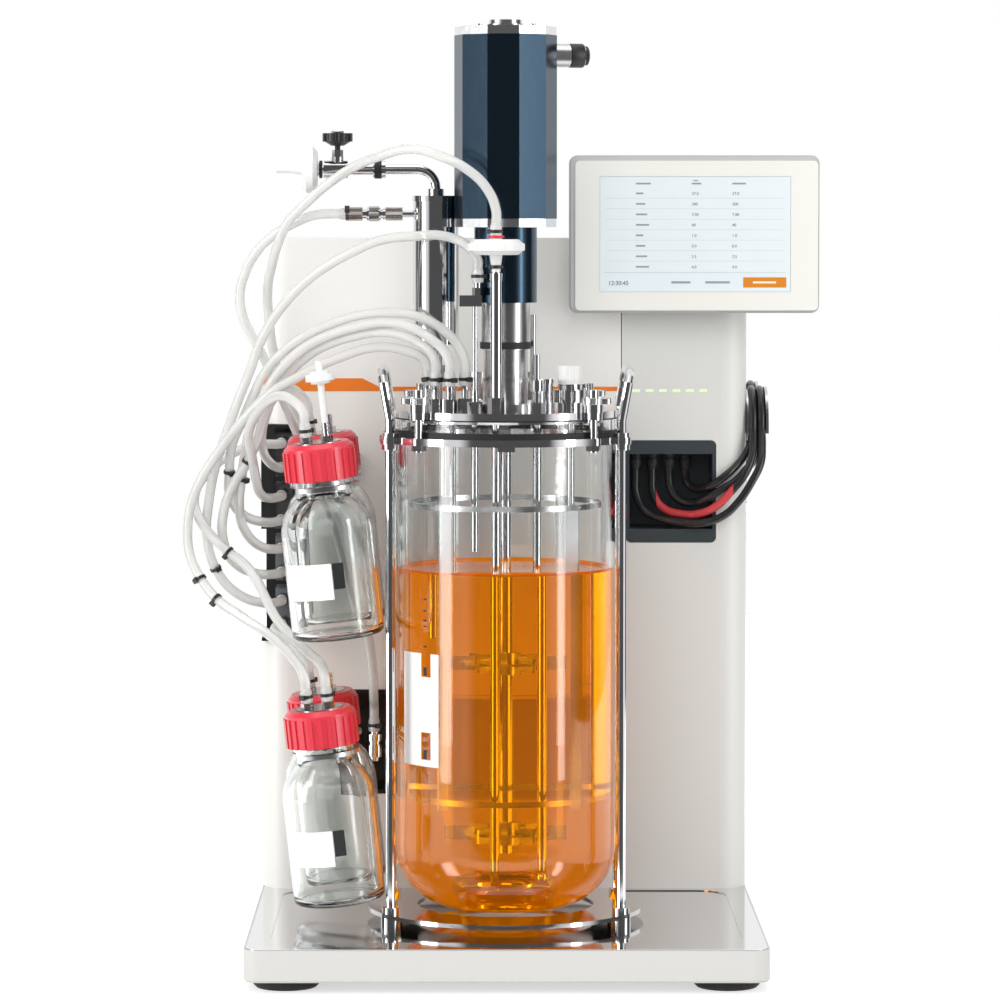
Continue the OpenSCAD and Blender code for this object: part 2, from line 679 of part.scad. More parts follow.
// --- Glass vessel, its seals and the lid ---
module vessel_profile(inset) {
    r = vessel_r - inset;
    round_r = vessel_round - inset;
    translate([0, inset]) {
        square([r - round_r, round_r + 1]);
        translate([0, round_r]) square([r, vessel_h + 1 - inset - round_r]);
        intersection() {
            translate([r - round_r, round_r]) circle(round_r, $fn = 96);
            square([r, round_r]);
        }
    }
}

module glass_vessel() placed() color([0.85, 0.93, 0.95, 0.35]) translate([0, 0, glass_z])
    rotate_extrude($fn = 96) difference() {
        union() {
            intersection() {
                vessel_profile(0);
                square([vessel_r, vessel_h]);
            }
            translate([vessel_r - 1, vessel_h - flange_t]) square([flange_out + 1, flange_t]);
        }
        vessel_profile(glass_t);
    }

module vessel_seals() placed() color([0.06, 0.06, 0.06]) {
    translate([0, 0, gasket_z]) linear_extrude(gasket_t) difference() {
        circle(flange_r + 0.6, $fn = 96);
        circle(vessel_r + seat_gap, $fn = 96);
    }
    translate([0, 0, glass_top]) linear_extrude(oring_t) difference() {
        circle(flange_r - 0.5, $fn = 96);
        circle(vessel_r - glass_t + 1, $fn = 96);
    }
}

// Ports through the lid, each [x, y, hole diameter]
feed_ports = [[-50, -14], [-40, -22], [-29, -6], [-56, 4]];
septum_at = [46, -4];
small_port_at = [29, -13];
cooler_at = [-50, 20];
inlet_at = [-7, -46];
sampler_at = [-22, -20];
module lid() placed() color([0.78, 0.79, 0.8]) translate([0, 0, lid_z]) difference() {
    union() {
        cylinder(h = lid_t, r = flange_r, $fn = 96);
        stud_places() cylinder(h = lid_t, r = lug_r);
        translate([0, 0, -3]) cylinder(h = 3, r = vessel_r - glass_t - 0.6, $fn = 96);
    }
    stud_places() translate([0, 0, -1]) cylinder(h = lid_t + 2, r = stud_r + run_fit);
    translate([0, 0, -4]) cylinder(h = lid_t + 5, d = shaft_d + 2);
    for (at = lid_tube_places) translate([at.x, at.y, -4]) cylinder(h = lid_t + 5, d = at.z + 2 * run_fit, $fn = 24);
}

// Tubes that pass down through the lid: [x, y, diameter, lowest height]
ring_sparger_z = glass_z + glass_t + 22;
tube_floor = glass_z + glass_t + 18;
dip_lines = [
    [sampler_at.x, sampler_at.y, 5, glass_z + vessel_h * 0.73],
    [22, -32, 6, tube_floor + 8],
    [-38, 8, 5, glass_z + vessel_h * 0.55]
];
lid_tube_places = concat(
    [for (t = dip_lines) [t.x, t.y, t.z]], [[inlet_at.x, inlet_at.y, 6], [cooler_at.x, cooler_at.y, 8]]);

module dip_tubes() placed() color([0.75, 0.72, 0.65]) {
    for (t = dip_lines) {
        translate([t.x, t.y, t[3]]) cylinder(h = lid_top + 14 - t[3], d = t.z);
        translate([t.x, t.y, lid_top]) cylinder(h = 6, d = t.z + 6, $fn = 6);
    }
    translate([dip_lines[1].x, dip_lines[1].y, lid_top + 14]) turned([[4.5, 8], [2.2, 18]]);
    translate([dip_lines[1].x, dip_lines[1].y, dip_lines[1][3]]) sphere(d = 9);
    translate([-38, 8, lid_top + 14]) cylinder(h = 2, d = 7, $fn = 24);
}

// Thumb nuts, their studs and the lock nuts under the stand's top ring
module clamp_screws() placed() color([0.8, 0.8, 0.82])
    for (a = [45 : 90 : 315]) rotate(a) translate([stud_ring_r, 0, 0]) {
        translate([0, 0, top_ring_z - 5]) cylinder(h = lid_top - top_ring_z + 10, r = stud_r);
        translate([0, 0, top_ring_z - 4]) cylinder(h = 4, d = stud_d + 5, $fn = 6);
        translate([0, 0, lid_top]) turned([[stud_r + 4, 6], [stud_r + 5.5, 5], [stud_r + 0.5, 5]]);
    }

// --- Stirrer drive, from the lid up ---
clutch_d = bearing_d + 3;
module bearing_housing() placed() color([0.75, 0.76, 0.78]) translate([0, 0, bearing_z]) difference() {
    union() {
        cylinder(h = 4, d = bearing_d + 14);
        cylinder(h = bearing_h, d = bearing_d);
        translate([0, 0, bearing_h * 0.45]) cylinder(h = 3, d = bearing_d + 2);
        for (a = [30 : 60 : 330]) rotate(a) translate([bearing_d / 2 + 4, 0, 4]) cylinder(h = 2.5, d = 4.5, $fn = 6);
    }
    translate([0, 0, -1]) cylinder(h = bearing_h + 2, d = shaft_d + 2 * run_fit);
}

module clutch_housing() placed() color([0.7, 0.71, 0.73]) translate([0, 0, collar_z]) difference() {
    union() {
        cylinder(h = collar_h, d = clutch_d + 1);
        translate([0, 0, collar_h]) cylinder(h = clutch_h, d = clutch_d);
    }
    translate([0, 0, -1]) cylinder(h = collar_h + clutch_h + 2, d = 26);
}

module motor_adapter() placed() color([0.06, 0.1, 0.16]) translate([0, 0, adapter_z]) difference() {
    cylinder(h = adapter_h, d = adapter_d);
    translate([0, 0, -1]) cylinder(h = adapter_h + 2, d = 26);
}

motor_corner_d = motor_w / cos(180 / motor_sides);
motor_turn = 15;
module motor_prism(h, d) rotate(motor_turn + 180 / motor_sides) cylinder(h = h, d = d, $fn = motor_sides);
module motor_body() placed() color([0.08, 0.12, 0.18]) translate([0, 0, motor_z + motor_cap_h])
    motor_prism(motor_h - motor_cap_h, motor_corner_d);

module motor_caps() placed() color([0.8, 0.81, 0.82]) {
    translate([0, 0, motor_z]) difference() {
        motor_prism(motor_cap_h, motor_corner_d - 0.8);
        translate([0, 0, -1]) cylinder(h = 4, d = 20);
    }
    translate([0, 0, motor_top]) {
        motor_prism(motor_cap_h, motor_corner_d - 0.8);
        for (a = [0 : 90 : 270]) rotate(a + 45) translate([motor_w / 2 - 8, 0, motor_cap_h]) cylinder(h = 1.5, d = 5);
        translate([0, 0, motor_cap_h]) turned([[14, 2], [12, 3]]);
    }
}

module motor_socket() placed() color([0.2, 0.2, 0.21]) translate([0, 0, motor_top - motor_cap_h - 8])
    rotate(motor_turn) translate([motor_w / 2, 0, 0]) rotate([0, 90, 0]) turned([[8.5, 12], [7.9, 11], [6.5, 3]]);

impeller_gap = vessel_h * 0.345;
impeller_low_z = glass_z + vessel_h * 0.157;
shaft_end_z = impeller_low_z - 14;
module drive_shaft() placed() color([0.75, 0.74, 0.7]) {
    translate([0, 0, shaft_end_z]) cylinder(h = bearing_z + bearing_h + 20 - shaft_end_z, d = shaft_d);
    translate([0, 0, bearing_z + bearing_h + 4]) cylinder(h = 14, d = 22);
}

// A disc turbine: hub, thin disc and upright blades set into the disc's rim
hub_h = 16;
module impeller(z) translate([0, 0, z]) difference() {
    union() {
        translate([0, 0, -hub_h / 2]) cylinder(h = hub_h, d = shaft_d + 9);
        translate([0, 0, -0.9]) cylinder(h = 1.8, d = impeller_d * 0.74);
        for (i = [0 : blade_count - 1]) rotate(i * 360 / blade_count)
            translate([impeller_d / 4, -0.75, -blade_h / 2]) cube([impeller_d / 4, 1.5, blade_h]);
        rotate(90) translate([0, 0, hub_h / 4]) rotate([90, 0, 0]) cylinder(h = shaft_d / 2 + 7, d = 4, $fn = 24);
    }
    translate([0, 0, -hub_h]) cylinder(h = 2 * hub_h, d = shaft_d);
}
module impeller_upper() placed() color([0.75, 0.72, 0.65]) impeller(impeller_low_z + impeller_gap);
module impeller_lower() placed() color([0.75, 0.72, 0.65]) impeller(impeller_low_z);

// The baffle cage: two wire-thin rings and four upright strips that spring against the glass
cage_r = vessel_r - glass_t - 6;
cage_z0 = glass_z + vessel_h * 0.215;
cage_z1 = glass_z + vessel_h * 0.83;
baffle_w = 13;
module baffle_cage() placed() color([0.75, 0.73, 0.68]) {
    for (z = [cage_z0 + 4, cage_z1 - 4]) translate([0, 0, z]) linear_extrude(4) difference() {
        circle(cage_r, $fn = 96);
        circle(cage_r - 1.5, $fn = 96);
    }
    for (a = [48, 138, 228, 318]) rotate(a) {
        translate([cage_r - baffle_w, -0.75, cage_z0]) cube([baffle_w - 1, 1.5, cage_z1 - cage_z0]);
        translate([cage_r - 1.4, -4, (cage_z0 + cage_z1) / 2 - 20]) cube([7.1, 8, 1]);
    }
    for (a = [138, 318]) rotate(a) translate([cage_r - 8, 0, cage_z1 - 1]) {
        cylinder(h = lid_z - 3 - cage_z1 + 1, d = 5, $fn = 24);
    }
}

// The sparger: a tube down from the lid to a drilled ring below the lower impeller
sparge_r = impeller_d * 0.38;
module sparger() placed() color([0.78, 0.7, 0.5]) difference() {
    union() {
        translate([inlet_at.x, inlet_at.y, ring_sparger_z + 8])
            cylinder(h = filter_z - 12 - ring_sparger_z - 8, d = 6);
        swept(rounded_path([[inlet_at.x, inlet_at.y, ring_sparger_z + 14], [inlet_at.x, inlet_at.y, ring_sparger_z],
                            [inlet_at.x * 0.6, -sparge_r + 3, ring_sparger_z]], 8, 4), 5.9, 12);
        translate([0, 0, ring_sparger_z]) rotate_extrude() translate([sparge_r, 0]) circle(d = 6, $fn = 24);
        translate([inlet_at.x, inlet_at.y, lid_top]) cylinder(h = 10, d = 12, $fn = 6);
        translate([inlet_at.x, inlet_at.y, lid_top + 5]) cylinder(h = filter_z - 18 - lid_top - 4, d = 8);
        translate([inlet_at.x, inlet_at.y, filter_z - 18]) cylinder(h = 5, d = 9);
    }
    for (a = [0 : 30 : 330]) rotate(a) translate([sparge_r, 0, ring_sparger_z + 1]) cylinder(h = 5, d = 1.2, $fn = 16);
}

// --- Fittings on the lid ---
// A disc filter with its two nozzles, standing on a tube from the lid
filter_d = 40;
filter_z = lid_top + 111;
module disc_filter(d) {
    cylinder(h = 3, d1 = d * 0.8, d2 = d - 1);
    translate([0, 0, 3]) cylinder(h = 5, d = d);
    translate([0, 0, 8]) cylinder(h = 3, d1 = d - 1, d2 = d * 0.8);
    translate([0, 0, -12]) cylinder(h = 12, d1 = 6, d2 = 9);
    translate([0, 0, 11]) cylinder(h = 10, d1 = 9, d2 = 6);
}
module inlet_filter() placed() color([0.97, 0.97, 0.96])
    translate([inlet_at.x, inlet_at.y, filter_z]) disc_filter(filter_d);

feed_nozzle_h = 26;
sampler_nozzle_h = 18;
module lid_ports() placed() color([0.78, 0.79, 0.8]) {
    for (at = feed_ports) translate([at.x, at.y, lid_top]) nozzle(feed_nozzle_h, 5, 10);
    translate([small_port_at.x, small_port_at.y, lid_top]) turned([[6, 5], [5, 14], [6, 3]]);
    translate([septum_at.x, septum_at.y, lid_top]) turned([[8.5, 5], [11.4, 9], [8.5, 4]]);
    translate([sampler_at.x, sampler_at.y, lid_top + 14]) {
        cylinder(h = 60, d = 3.5);
        translate([-11, -4, 60]) cube([16, 8, 8]);
        translate([2, 0, 68]) nozzle(sampler_nozzle_h, 5, 8);
    }
    translate([20, 24, lid_top]) {
        cylinder(h = 12, d = 9, $fn = 6);
        cylinder(h = 67, d = 4.3, $fn = 24);
    }
    translate([50, 26, lid_top]) turned([[9, 6], [7.5, 8], [9, 3]]);
    translate([-20, 46, lid_top]) turned([[8, 5], [6, 16], [7, 4]]);
    translate([18, 50, lid_top]) turned([[8, 5], [6, 16], [7, 4]]);
}

module septum_cap() placed() color([0.95, 0.95, 0.94]) translate([septum_at.x, septum_at.y, lid_top + 18]) difference() {
    union() {
        cylinder(h = 3, d1 = 16, d2 = 17.6);
        translate([0, 0, 3]) cylinder(h = 10, d = 17.6);
    }
    for (a = [0 : 24 : 336]) rotate(a) translate([9.2, 0, 3]) cylinder(h = 11, d = 1.6, $fn = 13);
    translate([0, 0, 11.5]) cylinder(h = 2, d = 9);
}

// --- Exit gas line: cooler, needle valve and filter ---
cooler_d = 33;
cooler_z = lid_top + 46;
cooler_h = 107;
cooler_x = cooler_at.x;
cooler_y = cooler_at.y;
gas_line_z = cooler_z + cooler_h + 19;
side_port_z = cooler_z + cooler_h - 13;
valve_x = -121;
union_x = valve_x + 34.7;
side_port_len = 53.1;
module exit_cooler() placed() color([0.8, 0.81, 0.82]) {
    translate([cooler_x, cooler_y, lid_top]) {
        cylinder(h = 6, d = 16, $fn = 6);
        cylinder(h = cooler_z - lid_top, d = 10);
        translate([0, 0, 22]) cylinder(h = 9, d = 15);
    }
    translate([cooler_x, cooler_y, cooler_z]) {
        cylinder(h = cooler_h, d = cooler_d);
        cylinder(h = 4, d = cooler_d + 1.5);
        translate([0, 0, cooler_h - 4]) cylinder(h = 4, d = cooler_d + 1.5);
        translate([0, 0, cooler_h]) cylinder(h = 5, d = 12);
    }
    bent_tube([[cooler_x, cooler_y, cooler_z + cooler_h], [cooler_x, cooler_y, gas_line_z],
               [union_x, cooler_y, gas_line_z]], 7, 13.5);
    translate([cooler_x - cooler_d / 2 + 1, cooler_y, side_port_z]) rotate([0, -90, 0])
        turned([[2.5, 9], [4, 14], [3.3, 1.5], [4.8, 10], [3.5, 10.6], [2.5, 8]]);
    translate([cooler_x, cooler_y + cooler_d / 2 - 1, cooler_z + 16]) rotate([-90, 0, 0])
        turned([[4, 5], [3, 5], [4.5, 7], [2.5, 10]]);
}

// The valve's body lies along the gas line, its bonnet and stem stand up from it
stem_d = 4;
bonnet_z = gas_line_z + 14;
module needle_valve() placed() color([0.72, 0.73, 0.75]) translate([0, cooler_y, 0]) difference() {
    union() {
        translate([union_x, 0, gas_line_z]) rotate([0, -90, 0])
            turned([[6.3, 9], [4, 18.3], [6.5, 17.4], [3, 1]]);
        translate([valve_x, 0, gas_line_z]) cylinder(h = 9, d = 9);
        translate([valve_x, 0, gas_line_z + 9]) cylinder(h = 5, d = 8, $fn = 6);
    }
    translate([valve_x, 0, gas_line_z + 1]) cylinder(h = 20, d = stem_d + 2 * run_fit, $fn = 24);
}

handwheel_d = 22;
module valve_handwheel() placed() color([0.12, 0.12, 0.13])
    translate([valve_x, cooler_y, 0]) {
        translate([0, 0, gas_line_z + 3]) cylinder(h = 16, d = stem_d, $fn = 24);
        translate([0, 0, bonnet_z + 3]) difference() {
            union() {
                cylinder(h = 3, d1 = 9, d2 = handwheel_d - 3);
                translate([0, 0, 3]) cylinder(h = 6, d = handwheel_d);
            }
            for (a = [0 : 45 : 315]) rotate(a) translate([handwheel_d / 2 + 1, 0, 0]) cylinder(h = 10, d = 5, $fn = 24);
            translate([0, 0, 8]) cylinder(h = 2, d = 12);
        }
    }

exit_filter_x = union_x - 45.7;
module vent_filters() placed() color([0.97, 0.97, 0.96]) {
    translate([exit_filter_x, cooler_y, gas_line_z]) rotate([0, -90, 0]) {
        cylinder(h = 4, d = 9);
        translate([0, 0, 3.5]) disc_filter_body(34);
        translate([0, 0, 14.5]) cylinder(h = 8.5, d1 = 8, d2 = 5);
        translate([0, 0, 23]) cylinder(h = 10, d = 5);
    }
    in_bottle_frame(0) translate([cap_nozzles[1].x, cap_nozzles[1].y, nozzle_tip_z + seat_gap]) {
        cylinder(h = 28, d = 5, $fn = 24);
        translate([0, 0, 28]) turned([[7, 2], [10.5, 5], [7, 2], [2.5, 7]]);
    }
}
module disc_filter_body(d) {
    cylinder(h = 3, d1 = d * 0.75, d2 = d - 1);
    translate([0, 0, 3]) cylinder(h = 5, d = d);
    translate([0, 0, 8]) cylinder(h = 3, d1 = d - 1, d2 = d * 0.75);
}

// --- Feed bottles: two above and two below, hung by their necks in a rack on the tower ---
bottle_r = bottle_d / 2;
neck_r = cap_d / 2 - 6;
bottle_feet = [[-119, -28, 235.5], [-118.5, -28, 46], [-119.5, 50, 238], [-119.5, 50, 49]];
bottle_count = 4;
module in_bottle_frame(k) translate(bottle_feet[k]) rotate([bottle_tip, -bottle_lean, 0]) children();

module bottle_outline(inset) {
    r = bottle_r - inset;
    shoulder = bottle_h * 0.56;
    neck = neck_r - inset;
    translate([0, inset]) {
        translate([0, 4]) square([r, shoulder - 4 - inset]);
        square([r - 4, 5]);
        translate([r - 4, 4]) circle(4, $fn = 32);
    }
    intersection() {
        translate([0, shoulder]) circle(r, $fn = 96);
        translate([0, shoulder]) square([r, sqrt(r * r - neck * neck)]);
    }
    translate([0, shoulder]) square([neck, bottle_h - shoulder + (inset > 0 ? 1 : 0)]);
}
module bottles() placed() color([0.85, 0.93, 0.95, 0.35]) for (k = [0 : bottle_count - 1]) in_bottle_frame(k)
    rotate_extrude($fn = 64) difference() {
        intersection() {
            union() {
                bottle_outline(0);
                translate([0, bottle_h - 24]) square([neck_r + 3, 3.5]);
            }
            square([bottle_r + 5, bottle_h]);
        }
        bottle_outline(3);
    }

cap_z = bottle_h - cap_h + 6;
rib_count = 24;
module bottle_caps() placed() color([0.85, 0.1, 0.16]) for (k = [0 : bottle_count - 1]) in_bottle_frame(k)
    translate([0, 0, cap_z]) difference() {
        union() {
            cylinder(h = cap_h - 3, d = cap_d - 2);
            translate([0, 0, cap_h - 3]) cylinder(h = 3, d1 = cap_d - 2, d2 = cap_d - 8);
            for (i = [0 : rib_count - 1]) rotate(i * 360 / rib_count)
                translate([cap_d / 2 - 1.6, -1.4, 0]) cube([1.8, 2.8, cap_h - 5]);
        }
        translate([0, 0, -1]) cylinder(h = cap_h - 5, r = neck_r + seat_gap);
        translate([0, 0, cap_h - insert_t]) cylinder(h = insert_t + 1, d = cap_d - 18);
    }

// The steel insert in each cap's top, with two hose nozzles
insert_t = 4;
cap_nozzles = [[-8, -2], [6.5, -2]];
nozzle_h = 13;
insert_top = cap_z + cap_h + 0.5;
nozzle_tip_z = insert_top + nozzle_h;
module cap_fittings() placed() color([0.75, 0.76, 0.78]) for (k = [0 : bottle_count - 1]) in_bottle_frame(k) {
    translate([0, 0, cap_z + cap_h - insert_t]) cylinder(h = insert_t + 0.5, d = cap_d - 18 - 2 * seat_gap);
    for (at = cap_nozzles) translate([at.x, at.y, insert_top]) nozzle(nozzle_h, 5, 9);
}

// The rack: a fork under each bottle's neck ring, a bar from the front fork to the rear one, and an
// arm from there to a plate on the tower
fork_t = 3;
fork_z = bottle_h - 24 - seat_gap - fork_t;
fork_mid_z = fork_z + fork_t / 2;
arm_angle = [50, 90];
rack_plate = [16, 4, 22];
function fork_point(k, a) =
    bottle_feet[k] + tipped([(neck_r + 3.8) * cos(a), (neck_r + 3.8) * sin(a), fork_mid_z]);
module bottle_rack() placed() color([0.78, 0.79, 0.8]) {
    for (k = [0 : bottle_count - 1]) in_bottle_frame(k) translate([0, 0, fork_z]) difference() {
        cylinder(h = fork_t, r = neck_r + 6);
        translate([0, 0, -1]) cylinder(h = fork_t + 2, r = neck_r + 1.5);
        rotate(180) translate([0, -neck_r - seat_gap, -1]) cube([neck_r + 10, 2 * (neck_r + seat_gap), fork_t + 2]);
    }
    for (level = [0, 1]) {
        start = fork_point(level + 2, arm_angle[level]);
        end = [start.x, tower_face - rack_plate.y + 1, start.z];
        bar(fork_point(level, 90), fork_point(level + 2, 270), 2 * fork_t);
        bar(start, end, 2 * fork_t);
        translate([end.x, tower_face - rack_plate.y / 2, end.z]) cube(rack_plate, center = true);
    }
}

// --- Hoses. Each ends at two fittings, and the points between are chosen by hand. ---
function tipped(p) =
    let (y = p.y * cos(bottle_tip) - p.z * sin(bottle_tip), z = p.y * sin(bottle_tip) + p.z * cos(bottle_tip))
    [p.x * cos(bottle_lean) - z * sin(bottle_lean), y, p.x * sin(bottle_lean) + z * cos(bottle_lean)];
function cap_tip(k, n) = bottle_feet[k] + tipped([cap_nozzles[n].x, cap_nozzles[n].y, nozzle_tip_z + seat_gap]);
function feed_tip(n) = [feed_ports[n].x, feed_ports[n].y, lid_top + feed_nozzle_h + seat_gap];
sampler_tip = [sampler_at.x + 2, sampler_at.y, lid_top + 82 + sampler_nozzle_h + seat_gap];
function coupling_tip(i) = [coupling_x(i), coupling_y, coupling_z + 31 + seat_gap];
function into_coupling(i) = [coupling_tip(i) + [0, 0, 9], coupling_tip(i)];
function out_of_cap(k, n) = [cap_tip(k, n), cap_tip(k, n) + tipped([0, 0, 8])];
function into_stub(i, s) = [stub_tip(i, s) - [0, 10, 0], stub_tip(i, s) - [0, seat_gap, 0]];

cooler_route = [
    [-127, 20, 536], [-138, 20, 535], [-151, 25, 530], [-167, 31, 521], [-180, 36, 509], [-189, 39, 493],
    [-193, 41, 476], [-191, 41, 462], [-185, 44, 448], [-178, 47, 435], [-171, 52, 420], [-162, 60, 398],
    [-150, 75, 368], [-133, 88, 325], [-115, 98, 272], [-102, 105, 223], [-98, 107, 196], [-97.5, 112, 176]];
air_route = [
    [-7, -46, 538], [-13, -45, 553], [-27, -42, 567], [-47, -36, 577], [-68, -26, 582], [-90, -14, 577],
    [-111, -6, 568], [-129, 1, 556], [-144, 7, 543], [-156, 14, 531], [-164, 20, 515], [-169, 33, 499],
    [-173, 51, 481], [-173, 61, 462], [-171, 66, 442], [-167, 72, 421], [-158, 82, 395], [-140, 94, 361],
    [-115, 103, 315], [-88, 107, 265], [-70, 108, 219], [-64, 108, 194], [-63.5, 112, 176]];
sampler_route = [
    [-26, -19, 512], [-43, -17, 520], [-65, -13, 520], [-90, -6, 517], [-111, 0, 508],
    [-129, 8, 498], [-144, 15, 487], [-158, 22, 473], [-170, 30, 457], [-179, 36, 440], [-186, 40, 421],
    [-195, 44, 399], [-203, 48, 377], [-211, 53, 354], [-217, 60, 326], [-219, 66, 300], [-213, 73, 275],
    [-198, 80, 256], [-178, 88, 248]];
feed_routes = [
    [[-50, -14, 428], [-53, -13, 436], [-61, -9, 443], [-74, -3, 449], [-90, 5, 451], [-108, 13, 448],
     [-127, 21, 442], [-143, 27, 433], [-156, 33, 421], [-166, 38, 406], [-175, 42, 390], [-180, 44, 373],
     [-188, 47, 355], [-199, 52, 337], [-206, 57, 318], [-207, 64, 298], [-200, 74, 280], [-183, 86, 270]],
    [[-40, -22, 428], [-44, -20, 438], [-54, -16, 447], [-68, -10, 455], [-86, -2, 458], [-106, 6, 455],
     [-126, 14, 449], [-144, 20, 440], [-158, 25, 428], [-170, 31, 413], [-179, 38, 397], [-186, 46, 380],
     [-190, 54, 361], [-193, 58.5, 342], [-195, 65, 323], [-192, 74, 304], [-180, 86, 290]],
    [[-29, -6, 428], [-34, -5, 441], [-45, -3, 453], [-62, 0, 462], [-82, 4, 465], [-105, 12, 463],
     [-127, 20, 456], [-146, 26, 447], [-162, 32, 435], [-175, 38, 420], [-183, 46, 405], [-191, 52, 387],
     [-200, 57, 366], [-202, 61, 347], [-202, 68, 329], [-194, 78, 315], [-177, 87, 308]]];
vent_route = [
    [-57, 4, 428], [-62, 4, 434], [-70, 6, 437], [-84, 8, 440], [-100, 10, 439], [-118, 12, 433],
    [-135, 14, 426], [-152, 16, 417], [-169, 20, 407], [-183, 26, 394], [-197, 32, 378], [-210, 38, 361],
    [-221, 44, 344], [-229, 48, 325], [-232, 50, 305], [-230, 48, 286], [-222, 42, 270], [-210, 34, 256],
    [-193, 24, 245], [-175, 12, 235], [-163, -2, 227], [-153, -18, 219]];
upper_routes = [
    [[-150, -29, 402], [-159, -19, 406], [-170, -5, 402], [-180, 10, 391], [-186, 24, 376],
     [-184, 36, 359], [-182, 50, 343], [-180, 68, 331], [-174, 86, 326]],
    [[-150, 42, 405], [-158, 45, 409], [-168, 48, 403], [-174, 55, 391], [-178, 62, 377], [-178, 71, 363],
     [-173, 84, 352]]];
lower_routes = [
    [[-149, 44, 215], [-156, 48, 221], [-164, 57, 226], [-169, 68, 229], [-169, 82, 231]],
    [[-132, -22, 214], [-142, -5, 221], [-153, 9, 230], [-165, 19, 242], [-174, 29, 257], [-182, 39, 271],
     [-191, 46, 281], [-202, 50, 289], [-214, 52, 300], [-224, 57, 313], [-228, 67, 328], [-221, 78, 343],
     [-205, 86, 357], [-184, 91, 365]]];

module cooler_hose() placed() color([0.93, 0.93, 0.91])
    hose(concat([[cooler_x - cooler_d / 2 + 1 - side_port_len - seat_gap, cooler_y, side_port_z]], cooler_route,
                into_coupling(0)), hose_d);
module air_hose() placed() color([0.93, 0.93, 0.91])
    hose(concat([[inlet_at.x, inlet_at.y, filter_z + 21 + seat_gap]], air_route,
                into_coupling(1)), hose_d);
module feed_hoses() placed() color([0.93, 0.93, 0.91]) {
    for (n = [0 : 2]) hose(concat([feed_tip(n)], feed_routes[n], into_stub(n == 2 ? 2 : 1, n == 1 ? 1 : -1)), hose_d);
    hose(concat([sampler_tip, sampler_tip + [0, 0, 7]], sampler_route, into_stub(0, 1)), hose_d);
}
module bottle_hoses() placed() color([0.93, 0.93, 0.91]) {
    hose(concat([feed_tip(3)], vent_route, [out_of_cap(1, 0)[1], cap_tip(1, 0)]), hose_d);
    hose(concat(out_of_cap(0, 0), upper_routes[0], into_stub(2, 1)), hose_d);
    hose(concat(out_of_cap(2, 0), upper_routes[1], into_stub(3, -1)), hose_d);
    hose(concat(out_of_cap(3, 0), lower_routes[0], into_stub(0, -1)), hose_d);
    hose(concat(out_of_cap(1, 1), lower_routes[1], into_stub(3, 1)), hose_d);
}

// --- Sensor leads: out of the bay, round the column's edge, over both hooks to their free plugs ---
lead_routes = [
    [[99, 134, 326], [105, 130, 314], [117, 124, 308], [132, 116, 306], [147, 109, 306], [162, 106, 311],
     [174, 104, 322], [184, 104, 337], [190.5, 108, 350], [192.3, 116, 364]],
    [[112, 134, 326], [119, 128, 316], [132, 120, 312], [146, 111, 313], [158, 107, 319], [169, 105.5, 330],
     [178, 106, 341], [184.3, 112, 354], [186, 118.5, 366]],
    [[125, 134, 330], [131, 130, 322], [141, 122, 320], [151, 112, 324], [162, 109, 331], [172, 111, 337],
     [180, 115, 345], [187, 118, 353], [191.2, 124, 364]],
    [[137, 134, 335], [141, 130, 331], [148, 120, 331], [155, 111, 334], [164.5, 110.5, 341], [173, 115.5, 348],
     [180, 122, 356], [185, 129, 366]]];
// The leads' places on the hooks: the two inner ones, then the two that lie on them
hook_place = [3, 2, 1, 0];
function over_hook(y, i) = [for (a = [0 : 20 : 180]) [lead_x(i), hook_y[y] - lead_r(i) * cos(a), hook_z + lead_r(i) * sin(a)]];
tail_x = tower_x1 + 4.8;
tail_pitch = 7.5;
function tail_y(i) = hook_y[1] + 14.5 + tail_pitch * hook_place[i];
function tail_z(i) = hook_z - 40 - 28 * hook_place[i];
function tail(i) = [
    [lead_x(hook_place[i]), tail_y(i), hook_z - 22], [tail_x, tail_y(i), (hook_z - 22 + tail_z(i)) / 2],
    [tail_x, tail_y(i), tail_z(i)]];
module sensor_leads() placed() color([0.1, 0.1, 0.1])
    for (i = [0 : lead_count - 1]) {
        place = hook_place[i];
        front = over_hook(0, place);
        rear = over_hook(1, place);
        middle = [lead_x(place), (hook_y[0] + hook_y[1]) / 2, hook_z - 14 + lead_r(place) - hook_r];
        hose(concat([for (drop = [12 + seat_gap, 18]) [socket_x(i), socket_y, socket_z - drop]], lead_routes[i],
                    [for (k = [0 : 6]) front[k]], [middle], [for (k = [3 : 9]) rear[k]], tail(i)), lead_d);
    }

// --- Calls ---
tray_housing();
tray_plate();
rubber_feet();
tower_shell();
column_shell();
back_panel();
accent_stripe();
status_lights();
sensor_bay();
lead_plugs();
pump_bay();
pump_heads();
pump_rotor_1();
pump_rotor_2();
pump_rotor_3();
pump_rotor_4();
pump_motors();
service_bay();
service_couplings();
screen_bracket();
screen_case();
screen_panel();
lead_hook();
mains_inlet();
stand_base();
stand_ring();
handle_left();
handle_right();
glass_vessel();
vessel_seals();
lid();
clamp_screws();
bearing_housing();
clutch_housing();
motor_adapter();
motor_body();
motor_caps();
motor_socket();
drive_shaft();
impeller_upper();
impeller_lower();
baffle_cage();
sparger();
inlet_filter();
dip_tubes();
lid_ports();
septum_cap();
exit_cooler();
needle_valve();
valve_handwheel();
vent_filters();
bottle_rack();
bottles();
bottle_caps();
cap_fittings();
cooler_hose();
air_hose();
feed_hoses();
bottle_hoses();
sensor_leads();
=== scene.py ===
import json
import math

import bmesh
import bpy
from mathutils import Matrix, Vector


